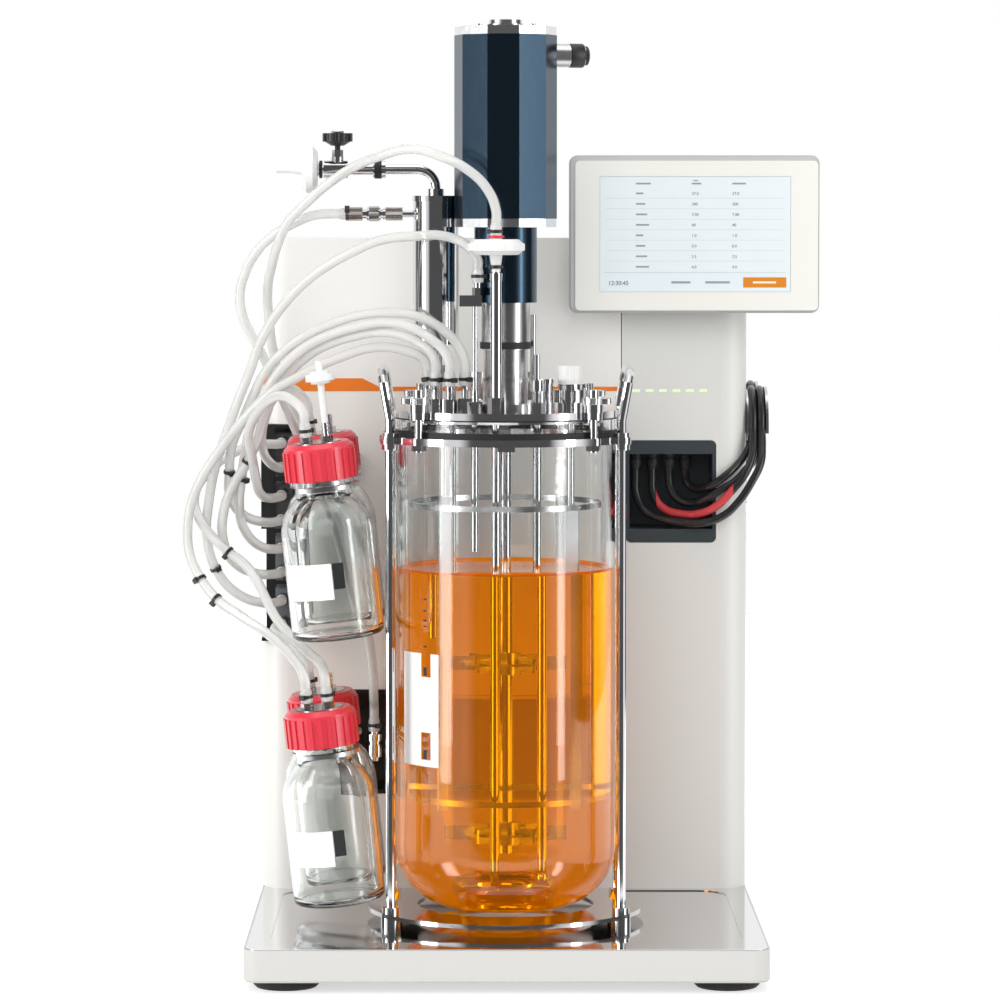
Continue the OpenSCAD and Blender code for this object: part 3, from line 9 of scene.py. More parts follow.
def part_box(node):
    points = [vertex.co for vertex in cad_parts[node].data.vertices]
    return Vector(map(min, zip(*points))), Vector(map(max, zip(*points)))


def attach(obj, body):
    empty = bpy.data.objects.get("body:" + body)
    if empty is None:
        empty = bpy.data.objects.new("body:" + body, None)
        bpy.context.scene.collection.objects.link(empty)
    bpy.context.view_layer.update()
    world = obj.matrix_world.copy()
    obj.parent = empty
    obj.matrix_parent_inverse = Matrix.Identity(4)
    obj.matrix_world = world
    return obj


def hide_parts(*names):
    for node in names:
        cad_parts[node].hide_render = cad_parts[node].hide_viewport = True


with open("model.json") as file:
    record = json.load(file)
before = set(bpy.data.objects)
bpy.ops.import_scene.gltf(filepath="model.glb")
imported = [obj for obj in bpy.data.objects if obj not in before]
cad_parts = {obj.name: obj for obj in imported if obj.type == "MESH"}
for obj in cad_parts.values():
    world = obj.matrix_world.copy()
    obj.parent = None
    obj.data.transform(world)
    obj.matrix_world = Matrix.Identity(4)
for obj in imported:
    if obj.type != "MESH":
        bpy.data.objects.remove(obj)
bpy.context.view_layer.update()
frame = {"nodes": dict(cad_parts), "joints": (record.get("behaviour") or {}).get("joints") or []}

# --- The view and the light ---
# A long lens in front of the instrument, a little above the middle of the vessel, in a white
# room with a tall soft lamp on each side, one in front and one above. The floor is a plain
# white sheet that keeps the instrument's shadow.
axis_x, axis_y = frame["joints"][0]["pos_m"][:2]


def from_axis(x, y, z):
    return Vector((axis_x + x, axis_y + y, z))


eye = bpy.data.objects.new("eye", bpy.data.cameras.new("eye"))
eye.data.lens = 153
eye.data.shift_x = 0.025
eye.data.shift_y = -0.1
eye.location = from_axis(-0.0219, -3.05, 0.535)
eye.rotation_euler = (math.radians(90 - 2.49), 0, 0)
bpy.context.scene.collection.objects.link(eye)
bpy.context.scene.camera = eye
bpy.context.scene.view_settings.view_transform = "Standard"


def soft_lamp(name, place, aim, size, watts, shines=True):
    lamp = bpy.data.objects.new(name, bpy.data.lights.new(name, "AREA"))
    lamp.data.shape = "RECTANGLE"
    lamp.data.size, lamp.data.size_y = size
    lamp.data.energy = watts
    lamp.visible_glossy = shines
    lamp.location = place
    lamp.rotation_euler = (Vector(aim) - Vector(place)).to_track_quat("-Z", "Y").to_euler()
    bpy.context.scene.collection.objects.link(lamp)


soft_lamp("lamp_left", (-2.16, -1.05, 0.75), (0, 0, 0.4), (0.62, 1.9), 24)
soft_lamp("lamp_right", (2.03, -1.27, 0.75), (0, 0, 0.4), (0.36, 1.9), 15)
soft_lamp("lamp_front", (-0.45, -2.8, 1.2), (0, 0, 0.35), (2.4, 2.0), 31, shines=False)
soft_lamp("lamp_top", (0, -0.3, 2.2), (0, 0, 0), (1.6, 1.6), 10)

room = bpy.data.worlds.new("room")
bpy.context.scene.world = room
room.use_nodes = True
room_nodes, room_links = room.node_tree.nodes, room.node_tree.links
room_nodes.clear()


def room_node(kind, **settings):
    node = room_nodes.new(kind)
    for key, value in settings.items():
        setattr(node, key, value)
    return node


# What shiny and clear pieces see, by compass direction: a white wall behind, a white screen to
# the front left, a narrower one to the front right, and the dark of the room between them
room_way = room_node("ShaderNodeTexCoord")
room_split = room_node("ShaderNodeSeparateXYZ")
room_links.new(room_way.outputs["Generated"], room_split.inputs[0])
room_ahead = room_node("ShaderNodeMath", operation="MULTIPLY")
room_ahead.inputs[1].default_value = -1
room_links.new(room_split.outputs["Y"], room_ahead.inputs[0])
room_turn = room_node("ShaderNodeMath", operation="ARCTAN2")
room_links.new(room_split.outputs["X"], room_turn.inputs[0])
room_links.new(room_ahead.outputs[0], room_turn.inputs[1])
room_share = room_node("ShaderNodeMath", operation="MULTIPLY_ADD")
room_share.inputs[1].default_value = 0.5 / math.pi
room_share.inputs[2].default_value = 0.5
room_links.new(room_turn.outputs[0], room_share.inputs[0])
room_bands = room_node("ShaderNodeValToRGB")
room_greys = ((-180, 1.0), (-132, 0.97), (-116, 0.08), (-82, 0.08), (-70, 0.85), (-42, 0.85),
              (-32, 0.09), (40, 0.09), (50, 0.98), (72, 0.98), (84, 0.08), (116, 0.08),
              (132, 0.97), (180, 1.0))
room_band_spots = room_bands.color_ramp.elements
for number, (degrees, grey) in enumerate(room_greys):
    place = degrees / 360 + 0.5
    if number == 0:
        band = room_band_spots[0]
    elif degrees == 180:
        band = room_band_spots[-1]
    else:
        band = room_band_spots.new(place)
    band.position = place
    band.color = (grey, grey, min(1, grey * 1.02), 1)
room_links.new(room_share.outputs[0], room_bands.inputs[0])
room_rays = room_node("ShaderNodeLightPath")
room_seen = room_node("ShaderNodeMath", operation="MAXIMUM")
room_links.new(room_rays.outputs["Is Glossy Ray"], room_seen.inputs[0])
room_links.new(room_rays.outputs["Is Transmission Ray"], room_seen.inputs[1])
room_lit = room_node("ShaderNodeBackground")
room_lit.inputs["Color"].default_value = (1, 1, 1, 1)
room_lit.inputs["Strength"].default_value = 0.74
room_shine = room_node("ShaderNodeBackground")
room_links.new(room_bands.outputs["Color"], room_shine.inputs["Color"])
room_white = room_node("ShaderNodeBackground")
room_white.inputs["Color"].default_value = (1, 1, 1, 1)
room_mix_shine = room_node("ShaderNodeMixShader")
room_links.new(room_seen.outputs[0], room_mix_shine.inputs[0])
room_links.new(room_lit.outputs[0], room_mix_shine.inputs[1])
room_links.new(room_shine.outputs[0], room_mix_shine.inputs[2])
room_mix_seen = room_node("ShaderNodeMixShader")
room_links.new(room_rays.outputs["Is Camera Ray"], room_mix_seen.inputs[0])
room_links.new(room_mix_shine.outputs[0], room_mix_seen.inputs[1])
room_links.new(room_white.outputs[0], room_mix_seen.inputs[2])
room_links.new(room_mix_seen.outputs[0], room_node("ShaderNodeOutputWorld").inputs["Surface"])

floor_size, floor_back = 3, 1.05
bpy.ops.mesh.primitive_plane_add(size=floor_size, location=(0, floor_back, -0.0002))
floor = bpy.context.object
floor.name = "floor"

# The floor shades off to plain white away from the instrument. Only a direct look at it, a
# reflection or a look through glass sees that white, so it lights nothing
floor_paper = bpy.data.materials.new("white_paper")
floor_paper.use_nodes = True
floor_nodes, floor_links = floor_paper.node_tree.nodes, floor_paper.node_tree.links
floor_nodes.clear()
floor_dull = floor_nodes.new("ShaderNodeBsdfDiffuse")
floor_dull.inputs["Color"].default_value = (0.6, 0.6, 0.6, 1)
floor_glow = floor_nodes.new("ShaderNodeEmission")
floor_place = floor_nodes.new("ShaderNodeTexCoord")
floor_offset = floor_nodes.new("ShaderNodeVectorMath")
floor_offset.inputs[1].default_value = (0, floor_back, 0)
floor_links.new(floor_place.outputs["Object"], floor_offset.inputs[0])
floor_range = floor_nodes.new("ShaderNodeVectorMath")
floor_range.operation = "LENGTH"
floor_white = floor_nodes.new("ShaderNodeMapRange")
floor_white.interpolation_type = "SMOOTHSTEP"
floor_white.inputs["From Min"].default_value = 0.3
floor_white.inputs["From Max"].default_value = 1.1
floor_white.inputs["To Min"].default_value = 0.6
floor_white.inputs["To Max"].default_value = 1.0
floor_links.new(floor_offset.outputs["Vector"], floor_range.inputs[0])
floor_links.new(floor_range.outputs["Value"], floor_white.inputs["Value"])
floor_links.new(floor_white.outputs["Result"], floor_glow.inputs["Strength"])
floor_sum = floor_nodes.new("ShaderNodeAddShader")
floor_rays = floor_nodes.new("ShaderNodeLightPath")
floor_seen = floor_nodes.new("ShaderNodeMath")
floor_seen.operation = "MAXIMUM"
floor_bright = floor_nodes.new("ShaderNodeMath")
floor_bright.operation = "MAXIMUM"
floor_mix = floor_nodes.new("ShaderNodeMixShader")
floor_links.new(floor_rays.outputs["Is Camera Ray"], floor_seen.inputs[0])
floor_links.new(floor_rays.outputs["Is Glossy Ray"], floor_seen.inputs[1])
floor_links.new(floor_seen.outputs[0], floor_bright.inputs[0])
floor_links.new(floor_rays.outputs["Is Transmission Ray"], floor_bright.inputs[1])
floor_links.new(floor_dull.outputs[0], floor_sum.inputs[0])
floor_links.new(floor_glow.outputs[0], floor_sum.inputs[1])
floor_links.new(floor_bright.outputs[0], floor_mix.inputs[0])
floor_links.new(floor_dull.outputs[0], floor_mix.inputs[1])
floor_links.new(floor_sum.outputs[0], floor_mix.inputs[2])
floor_links.new(floor_mix.outputs[0], floor_nodes.new("ShaderNodeOutputMaterial").inputs["Surface"])
floor.data.materials.append(floor_paper)

# --- Hoses ---
# Clear silicone tube, milky where it is thick. Each length is pushed over a nozzle at both ends
# and hangs between them in its own curve. The routes are in metres from the vessel's axis.
hose_bore_d = 0.007


def finish(name, colour, roughness, metallic=0.0, shade=0.05, wear=0.05, grain=500, bump=0.04,
           stretch=(1, 1, 1), **sockets):
    material = bpy.data.materials.new(name)
    material.use_nodes = True
    nodes, links = material.node_tree.nodes, material.node_tree.links
    surface = nodes["Principled BSDF"]
    surface.inputs["Metallic"].default_value = metallic
    for socket, value in sockets.items():
        surface.inputs[socket.replace("_", " ")].default_value = value
    place = nodes.new("ShaderNodeTexCoord")
    along = nodes.new("ShaderNodeMapping")
    along.inputs["Scale"].default_value = stretch
    cloud = nodes.new("ShaderNodeTexNoise")
    cloud.inputs["Scale"].default_value = grain
    cloud.inputs["Detail"].default_value = 5
    links.new(place.outputs["Object"], along.inputs["Vector"])
    links.new(along.outputs["Vector"], cloud.inputs["Vector"])
    tint = nodes.new("ShaderNodeValToRGB")
    for end, share in ((0, 1 - shade), (1, 1 + shade)):
        tint.color_ramp.elements[end].position = 0.3 + 0.4 * end
        tint.color_ramp.elements[end].color = [min(1, c * share) for c in colour] + [1]
    links.new(cloud.outputs["Fac"], tint.inputs["Fac"])
    links.new(tint.outputs["Color"], surface.inputs["Base Color"])
    gloss = nodes.new("ShaderNodeMapRange")
    gloss.inputs["To Min"].default_value = max(0.0, roughness - wear)
    gloss.inputs["To Max"].default_value = roughness + wear
    links.new(cloud.outputs["Fac"], gloss.inputs["Value"])
    links.new(gloss.outputs["Result"], surface.inputs["Roughness"])
    if bump:
        relief = nodes.new("ShaderNodeBump")
        relief.inputs["Strength"].default_value = bump
        relief.inputs["Distance"].default_value = 0.0004
        links.new(cloud.outputs["Fac"], relief.inputs["Height"])
        links.new(relief.outputs["Normal"], surface.inputs["Normal"])
    return material


def show(thing, name, material, body, slot, *nodes):
    thing.name = name
    thing.data.materials.clear()
    thing.data.materials.append(material)
    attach(thing, body)
    if nodes:
        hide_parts(*nodes)
    return thing


def tube_along(name, points, diameter):
    line = bpy.data.curves.new(name, "CURVE")
    line.dimensions = "3D"
    line.resolution_u = 10
    line.bevel_depth = diameter / 2
    line.bevel_resolution = 5
    line.use_fill_caps = True
    spline = line.splines.new("BEZIER")
    spline.bezier_points.add(len(points) - 1)
    for knot, point in zip(spline.bezier_points, points):
        knot.co = point
        knot.handle_left_type = knot.handle_right_type = "AUTO"
    tube = bpy.data.objects.new(name, line)
    bpy.context.scene.collection.objects.link(tube)
    return tube


def piece_from(form, name):
    """Makes a piece of the faces drawn so far."""
    mesh = bpy.data.meshes.new(name)
    form.to_mesh(mesh)
    form.free()
    thing = bpy.data.objects.new(name, mesh)
    bpy.context.scene.collection.objects.link(thing)
    return thing


def turned(name, outline, sides=48, closed=True):
    """A piece turned on a lathe from an outline of (radius, height) points."""
    form = bmesh.new()
    rings = []
    for radius, height in outline:
        if radius < 1e-6:
            rings.append([form.verts.new((0, 0, height))])
        else:
            rings.append([form.verts.new((radius * math.cos(2 * math.pi * k / sides),
                                          radius * math.sin(2 * math.pi * k / sides), height))
                          for k in range(sides)])
    for low, high in zip(rings, rings[1:]):
        for k in range(sides):
            corners = [low[k % len(low)], low[(k + 1) % len(low)],
                       high[(k + 1) % len(high)], high[k % len(high)]]
            form.faces.new(list(dict.fromkeys(corners)))
    for ring in (rings[0], rings[-1]):
        if closed and len(ring) > 1:
            form.faces.new(ring)
    bmesh.ops.recalc_face_normals(form, faces=form.faces)
    return piece_from(form, name)


def smooth(thing, angle=35):
    bpy.context.view_layer.objects.active = thing
    thing.select_set(True)
    bpy.ops.object.shade_smooth_by_angle(angle=math.radians(angle))
    thing.select_set(False)
    return thing


def stand(thing, place, way=(0, 0, 1)):
    turn = Vector((0, 0, 1)).rotation_difference(Vector(way).normalized())
    thing.data.transform(Matrix.Translation(place) @ turn.to_matrix().to_4x4())
    return thing


# A faint white glow is painted light: it lifts the shaded side of the hoses.
silicone = finish("milky_silicone_painted_glow", (0.84, 0.84, 0.82), 0.2, shade=0.006, wear=0.0, grain=40,
                  bump=0, IOR=1.41, Transmission_Weight=0.46, Coat_Weight=0.3, Coat_Roughness=0.12,
                  Emission_Color=(1.0, 1.0, 0.97, 1), Emission_Strength=0.03)
hose_routes = {
    "cooler_line": ("cooler_hose", 0.458, [
        (-0.1189, 0.02, 0.536), (-0.127, 0.02, 0.536), (-0.138, 0.02, 0.535),
        (-0.151, 0.025, 0.53), (-0.167, 0.031, 0.521), (-0.18, 0.036, 0.509),
        (-0.189, 0.039, 0.493), (-0.193, 0.041, 0.476), (-0.191, 0.041, 0.462),
        (-0.185, 0.044, 0.448), (-0.178, 0.047, 0.435), (-0.171, 0.052, 0.42),
        (-0.162, 0.06, 0.398), (-0.15, 0.075, 0.368), (-0.133, 0.088, 0.325),
        (-0.115, 0.098, 0.272), (-0.102, 0.105, 0.223), (-0.098, 0.107, 0.196),
        (-0.0975, 0.112, 0.176), (-0.0975, 0.122, 0.1668), (-0.0975, 0.122, 0.1578)]),
    "air_line": ("air_hose", 0.632, [
        (-0.007, -0.046, 0.5283), (-0.007, -0.046, 0.538), (-0.013, -0.045, 0.553),
        (-0.027, -0.042, 0.567), (-0.047, -0.036, 0.577), (-0.068, -0.026, 0.582),
        (-0.09, -0.014, 0.577), (-0.111, -0.006, 0.568), (-0.129, 0.001, 0.556),
        (-0.144, 0.007, 0.543), (-0.156, 0.014, 0.531), (-0.164, 0.02, 0.515),
        (-0.169, 0.033, 0.499), (-0.173, 0.051, 0.481), (-0.173, 0.061, 0.462),
        (-0.171, 0.066, 0.442), (-0.167, 0.072, 0.421), (-0.158, 0.082, 0.395),
        (-0.14, 0.094, 0.361), (-0.115, 0.103, 0.315), (-0.088, 0.107, 0.265),
        (-0.07, 0.108, 0.219), (-0.064, 0.108, 0.194), (-0.0635, 0.112, 0.176),
        (-0.0635, 0.122, 0.1668), (-0.0635, 0.122, 0.1578)]),
    "feed_line_1": ("feed_hoses", 0.353, [
        (-0.05, -0.014, 0.4223), (-0.05, -0.014, 0.428), (-0.053, -0.013, 0.436),
        (-0.061, -0.009, 0.443), (-0.074, -0.003, 0.449), (-0.09, 0.005, 0.451),
        (-0.108, 0.013, 0.448), (-0.127, 0.021, 0.442), (-0.143, 0.027, 0.433),
        (-0.156, 0.033, 0.421), (-0.166, 0.038, 0.406), (-0.175, 0.042, 0.39),
        (-0.18, 0.044, 0.373), (-0.188, 0.047, 0.355), (-0.199, 0.052, 0.337),
        (-0.206, 0.057, 0.318), (-0.207, 0.064, 0.298), (-0.2, 0.074, 0.28),
        (-0.183, 0.086, 0.27), (-0.1661, 0.096, 0.2695), (-0.1661, 0.1057, 0.2695)]),
    "feed_line_2": ("feed_hoses", 0.344, [
        (-0.04, -0.022, 0.4223), (-0.04, -0.022, 0.428), (-0.044, -0.02, 0.438),
        (-0.054, -0.016, 0.447), (-0.068, -0.01, 0.455), (-0.086, -0.002, 0.458),
        (-0.106, 0.006, 0.455), (-0.126, 0.014, 0.449), (-0.144, 0.02, 0.44),
        (-0.158, 0.025, 0.428), (-0.17, 0.031, 0.413), (-0.179, 0.038, 0.397),
        (-0.186, 0.046, 0.38), (-0.19, 0.054, 0.361), (-0.193, 0.0585, 0.342),
        (-0.195, 0.065, 0.323), (-0.192, 0.074, 0.304), (-0.18, 0.086, 0.29),
        (-0.1661, 0.096, 0.2875), (-0.1661, 0.1057, 0.2875)]),
    "feed_line_3": ("feed_hoses", 0.355, [
        (-0.029, -0.006, 0.4223), (-0.029, -0.006, 0.428), (-0.034, -0.005, 0.441),
        (-0.045, -0.003, 0.453), (-0.062, 0, 0.462), (-0.082, 0.004, 0.465),
        (-0.105, 0.012, 0.463), (-0.127, 0.02, 0.456), (-0.146, 0.026, 0.447),
        (-0.162, 0.032, 0.435), (-0.175, 0.038, 0.42), (-0.183, 0.046, 0.405),
        (-0.191, 0.052, 0.387), (-0.2, 0.057, 0.366), (-0.202, 0.061, 0.347),
        (-0.202, 0.068, 0.329), (-0.194, 0.078, 0.315), (-0.177, 0.087, 0.308),
        (-0.1661, 0.096, 0.3085), (-0.1661, 0.1057, 0.3085)]),
    "sampler_line": ("feed_hoses", 0.463, [
        (-0.02, -0.02, 0.4963), (-0.02, -0.02, 0.5033), (-0.026, -0.019, 0.512),
        (-0.043, -0.017, 0.52), (-0.065, -0.013, 0.52), (-0.09, -0.006, 0.517),
        (-0.111, 0, 0.508), (-0.129, 0.008, 0.498), (-0.144, 0.015, 0.487),
        (-0.158, 0.022, 0.473), (-0.17, 0.03, 0.457), (-0.179, 0.036, 0.44),
        (-0.186, 0.04, 0.421), (-0.195, 0.044, 0.399), (-0.203, 0.048, 0.377),
        (-0.211, 0.053, 0.354), (-0.217, 0.06, 0.326), (-0.219, 0.066, 0.3),
        (-0.213, 0.073, 0.275), (-0.198, 0.08, 0.256), (-0.178, 0.088, 0.248),
        (-0.1661, 0.096, 0.2485), (-0.1661, 0.1057, 0.2485)]),
    "bottle_vent_line": ("bottle_hoses", 0.436, [
        (-0.056, 0.004, 0.4223), (-0.057, 0.004, 0.428), (-0.062, 0.004, 0.434),
        (-0.07, 0.006, 0.437), (-0.084, 0.008, 0.44), (-0.1, 0.01, 0.439),
        (-0.118, 0.012, 0.433), (-0.135, 0.014, 0.426), (-0.152, 0.016, 0.417),
        (-0.169, 0.02, 0.407), (-0.183, 0.026, 0.394), (-0.197, 0.032, 0.378),
        (-0.21, 0.038, 0.361), (-0.221, 0.044, 0.344), (-0.229, 0.048, 0.325),
        (-0.232, 0.05, 0.305), (-0.23, 0.048, 0.286), (-0.222, 0.042, 0.27),
        (-0.21, 0.034, 0.256), (-0.193, 0.024, 0.245), (-0.175, 0.012, 0.235),
        (-0.163, -0.002, 0.227), (-0.153, -0.018, 0.219), (-0.1432, -0.0356, 0.2049),
        (-0.1424, -0.0353, 0.197)]),
    "upper_bottle_line_1": ("bottle_hoses", 0.202, [
        (-0.1429, -0.0353, 0.3865), (-0.1437, -0.0356, 0.3944), (-0.15, -0.029, 0.402),
        (-0.159, -0.019, 0.406), (-0.17, -0.005, 0.402), (-0.18, 0.01, 0.391),
        (-0.186, 0.024, 0.376), (-0.184, 0.036, 0.359), (-0.182, 0.05, 0.343),
        (-0.18, 0.068, 0.331), (-0.174, 0.086, 0.326), (-0.1661, 0.096, 0.3265),
        (-0.1661, 0.1057, 0.3265)]),
    "upper_bottle_line_2": ("bottle_hoses", 0.13, [
        (-0.1434, 0.0427, 0.389), (-0.1442, 0.0424, 0.3969), (-0.15, 0.042, 0.405),
        (-0.158, 0.045, 0.409), (-0.168, 0.048, 0.403), (-0.174, 0.055, 0.391),
        (-0.178, 0.062, 0.377), (-0.178, 0.071, 0.363), (-0.173, 0.084, 0.352),
        (-0.1661, 0.096, 0.3475), (-0.1661, 0.1057, 0.3475)]),
    "lower_bottle_line_1": ("bottle_hoses", 0.091, [
        (-0.1434, 0.0427, 0.2), (-0.1442, 0.0424, 0.2079), (-0.149, 0.044, 0.215),
        (-0.156, 0.048, 0.221), (-0.164, 0.057, 0.226), (-0.169, 0.068, 0.229),
        (-0.169, 0.082, 0.231), (-0.1661, 0.096, 0.2305), (-0.1661, 0.1057, 0.2305)]),
    "lower_bottle_line_2": ("bottle_hoses", 0.301, [
        (-0.128, -0.0353, 0.1985), (-0.1288, -0.0356, 0.2064), (-0.132, -0.022, 0.214),
        (-0.142, -0.005, 0.221), (-0.153, 0.009, 0.23), (-0.165, 0.019, 0.242),
        (-0.174, 0.029, 0.257), (-0.182, 0.039, 0.271), (-0.191, 0.046, 0.281),
        (-0.202, 0.05, 0.289), (-0.214, 0.052, 0.3), (-0.224, 0.057, 0.313),
        (-0.228, 0.067, 0.328), (-0.221, 0.078, 0.343), (-0.205, 0.086, 0.357),
        (-0.184, 0.091, 0.365), (-0.1661, 0.096, 0.3655), (-0.1661, 0.1057, 0.3655)]),
}
hose_lines = {}
for name, (node, length, route) in hose_routes.items():
    hose_lines[name] = [from_axis(*point) for point in route]
    tube = tube_along(name, hose_lines[name], hose_bore_d)
    show(tube, name, silicone, "instrument", "clear_hose", node)

tie_black = finish("tie_black", (0.02, 0.02, 0.02), 0.4, shade=0.2, grain=900)
cuff_r = hose_bore_d / 2 + 0.0003


def zip_tie(name, place, way, inner_r, head_turn=0.0):
    """A cable tie's band round a hose, with its square head on one side."""
    band_w, band_t = 0.0025, 0.0009
    edge = 0.0002
    outline = [(inner_r, -band_w / 2), (inner_r + band_t, -band_w / 2 + edge),
               (inner_r + band_t, band_w / 2 - edge), (inner_r, band_w / 2),
               (inner_r, -band_w / 2)]
    tie = turned(name, outline, 28, closed=False)
    form = bmesh.new()
    form.from_mesh(tie.data)
    head = Matrix.Rotation(head_turn, 4, "Z") @ Matrix.Translation((inner_r + 0.0014, 0, 0)) \
        @ Matrix.Diagonal((0.0026, 0.0042, 0.0034, 1))
    bmesh.ops.create_cube(form, size=1, matrix=head)
    bmesh.ops.remove_doubles(form, verts=form.verts, dist=1e-6)
    form.to_mesh(tie.data)
    form.free()
    return show(smooth(stand(tie, place, way)), name, tie_black, "instrument", "black_plastic")


# The end of each hose is stretched over its nozzle and held by a tie
for name, line in hose_lines.items():
    for end, tip, inner in (("start", line[0], line[1]), ("end", line[-1], line[-2])):
        way = (inner - tip).normalized()
        cuff = turned(f"{name}_{end}_cuff", [
            (cuff_r - 0.0004, -0.0095), (cuff_r + 0.0003, -0.0091), (cuff_r + 0.0006, -0.0065),
            (cuff_r, -0.0045), (cuff_r + 0.0005, -0.0022), (cuff_r - 0.0002, 0.0012),
            (cuff_r - 0.0006, 0.0014), (cuff_r - 0.0006, 0.0002), (0, 0.0002)], 28)
        show(smooth(stand(cuff, tip, way), 60), cuff.name, silicone, "instrument", "clear_hose")
        zip_tie(f"{name}_{end}_tie", tip - way * 0.0048, way, cuff_r + 0.0001, 0.7 + len(name))

# More ties gather the loops beside the bottles
for name, spot in (("feed_line_2", 14), ("feed_line_3", 14), ("feed_line_1", 13),
                   ("sampler_line", 18), ("bottle_vent_line", 17), ("bottle_vent_line", 18),
                   ("lower_bottle_line_2", 9)):
    line = hose_lines[name]
    zip_tie(f"{name}_loop_tie_{spot}", line[spot], line[spot + 1] - line[spot - 1],
            hose_bore_d / 2 - 0.0001, spot)

# --- Sensor leads ---
# Four leads plug into the sensor bay from below, leave it round the column's edge and lie over
# two strip hooks, the inner pair first and the outer pair on top of it. Each ends in a free plug.
lead_d = 0.006
hook_y, hook_z, hook_r = (0.151, 0.254), 0.376, 0.018
hook_side = 0.183
jacket_black = (0.016, 0.016, 0.018)
black_jacket = finish("black_jacket", jacket_black, 0.3, shade=0.15, grain=300, bump=0.01,
                      Coat_Weight=0.3)
red_jacket = finish("red_sleeved_jacket", (0.62, 0.05, 0.06), 0.3, shade=0.06, grain=300,
                    bump=0.01, Coat_Weight=0.3)

# One lead has a red sleeve between its plug and the column's edge
sleeve_x = (0.114, 0.170)
sleeve_nodes, sleeve_links = red_jacket.node_tree.nodes, red_jacket.node_tree.links
sleeve_place = next(node for node in sleeve_nodes if node.type == "TEX_COORD")
sleeve_red = next(node for node in sleeve_nodes if node.type == "VALTORGB")
sleeve_split = sleeve_nodes.new("ShaderNodeSeparateXYZ")
sleeve_links.new(sleeve_place.outputs["Object"], sleeve_split.inputs[0])
sleeve_reach = sleeve_nodes.new("ShaderNodeMath")
sleeve_reach.operation = "COMPARE"
sleeve_reach.inputs[1].default_value = axis_x + sum(sleeve_x) / 2
sleeve_reach.inputs[2].default_value = (sleeve_x[1] - sleeve_x[0]) / 2
sleeve_links.new(sleeve_split.outputs["X"], sleeve_reach.inputs[0])
sleeve_pair = sleeve_nodes.new("ShaderNodeMix")
sleeve_pair.data_type = "RGBA"
sleeve_links.new(sleeve_reach.outputs[0], sleeve_pair.inputs["Factor"])
sleeve_pair.inputs[6].default_value = (*jacket_black, 1)
sleeve_links.new(sleeve_red.outputs["Color"], sleeve_pair.inputs[7])
sleeve_links.new(sleeve_pair.outputs[2], sleeve_nodes["Principled BSDF"].inputs["Base Color"])
lead_starts = [
    [(0.0985, 0.136, 0.3447), (0.0985, 0.136, 0.339), (0.099, 0.134, 0.326), (0.105, 0.13, 0.314),
     (0.117, 0.124, 0.308), (0.132, 0.116, 0.306), (0.147, 0.109, 0.306), (0.162, 0.106, 0.311),
     (0.174, 0.104, 0.322), (0.184, 0.104, 0.337), (0.1905, 0.108, 0.35), (0.1923, 0.116, 0.364)],
    [(0.111, 0.136, 0.3447), (0.111, 0.136, 0.339), (0.112, 0.134, 0.326), (0.119, 0.128, 0.316),
     (0.132, 0.12, 0.312), (0.146, 0.111, 0.313), (0.158, 0.107, 0.319), (0.169, 0.1055, 0.33),
     (0.178, 0.106, 0.341), (0.1843, 0.112, 0.354), (0.186, 0.1185, 0.366)],
    [(0.1235, 0.136, 0.3447), (0.1235, 0.136, 0.339), (0.125, 0.134, 0.33), (0.131, 0.13, 0.322),
     (0.141, 0.122, 0.32), (0.151, 0.112, 0.324), (0.162, 0.109, 0.331), (0.172, 0.111, 0.337),
     (0.18, 0.115, 0.345), (0.187, 0.118, 0.353), (0.1912, 0.124, 0.364)],
    [(0.136, 0.136, 0.3447), (0.136, 0.136, 0.339), (0.137, 0.134, 0.335), (0.141, 0.13, 0.331),
     (0.148, 0.12, 0.331), (0.155, 0.111, 0.334), (0.1645, 0.1105, 0.341), (0.173, 0.1155, 0.348),
     (0.18, 0.122, 0.356), (0.185, 0.129, 0.366)],
]
lead_places = (3, 2, 1, 0)
tail_x = 0.1863
plug_l = 0.026


def ring_of(length, radius, grooves, depth=0.0004):
    """The outline of a gripped sleeve: a few shallow grooves round it."""
    outline = [(radius - 0.0006, 0), (radius, 0.0006)]
    step = (length - 0.0024) / max(1, grooves)
    for k in range(grooves):
        z = 0.0012 + k * step
        outline += [(radius, z + 0.1 * step), (radius - depth, z + 0.35 * step),
                    (radius - depth, z + 0.65 * step), (radius, z + 0.9 * step)]
    return outline + [(radius, length - 0.0006), (radius - 0.0006, length)]


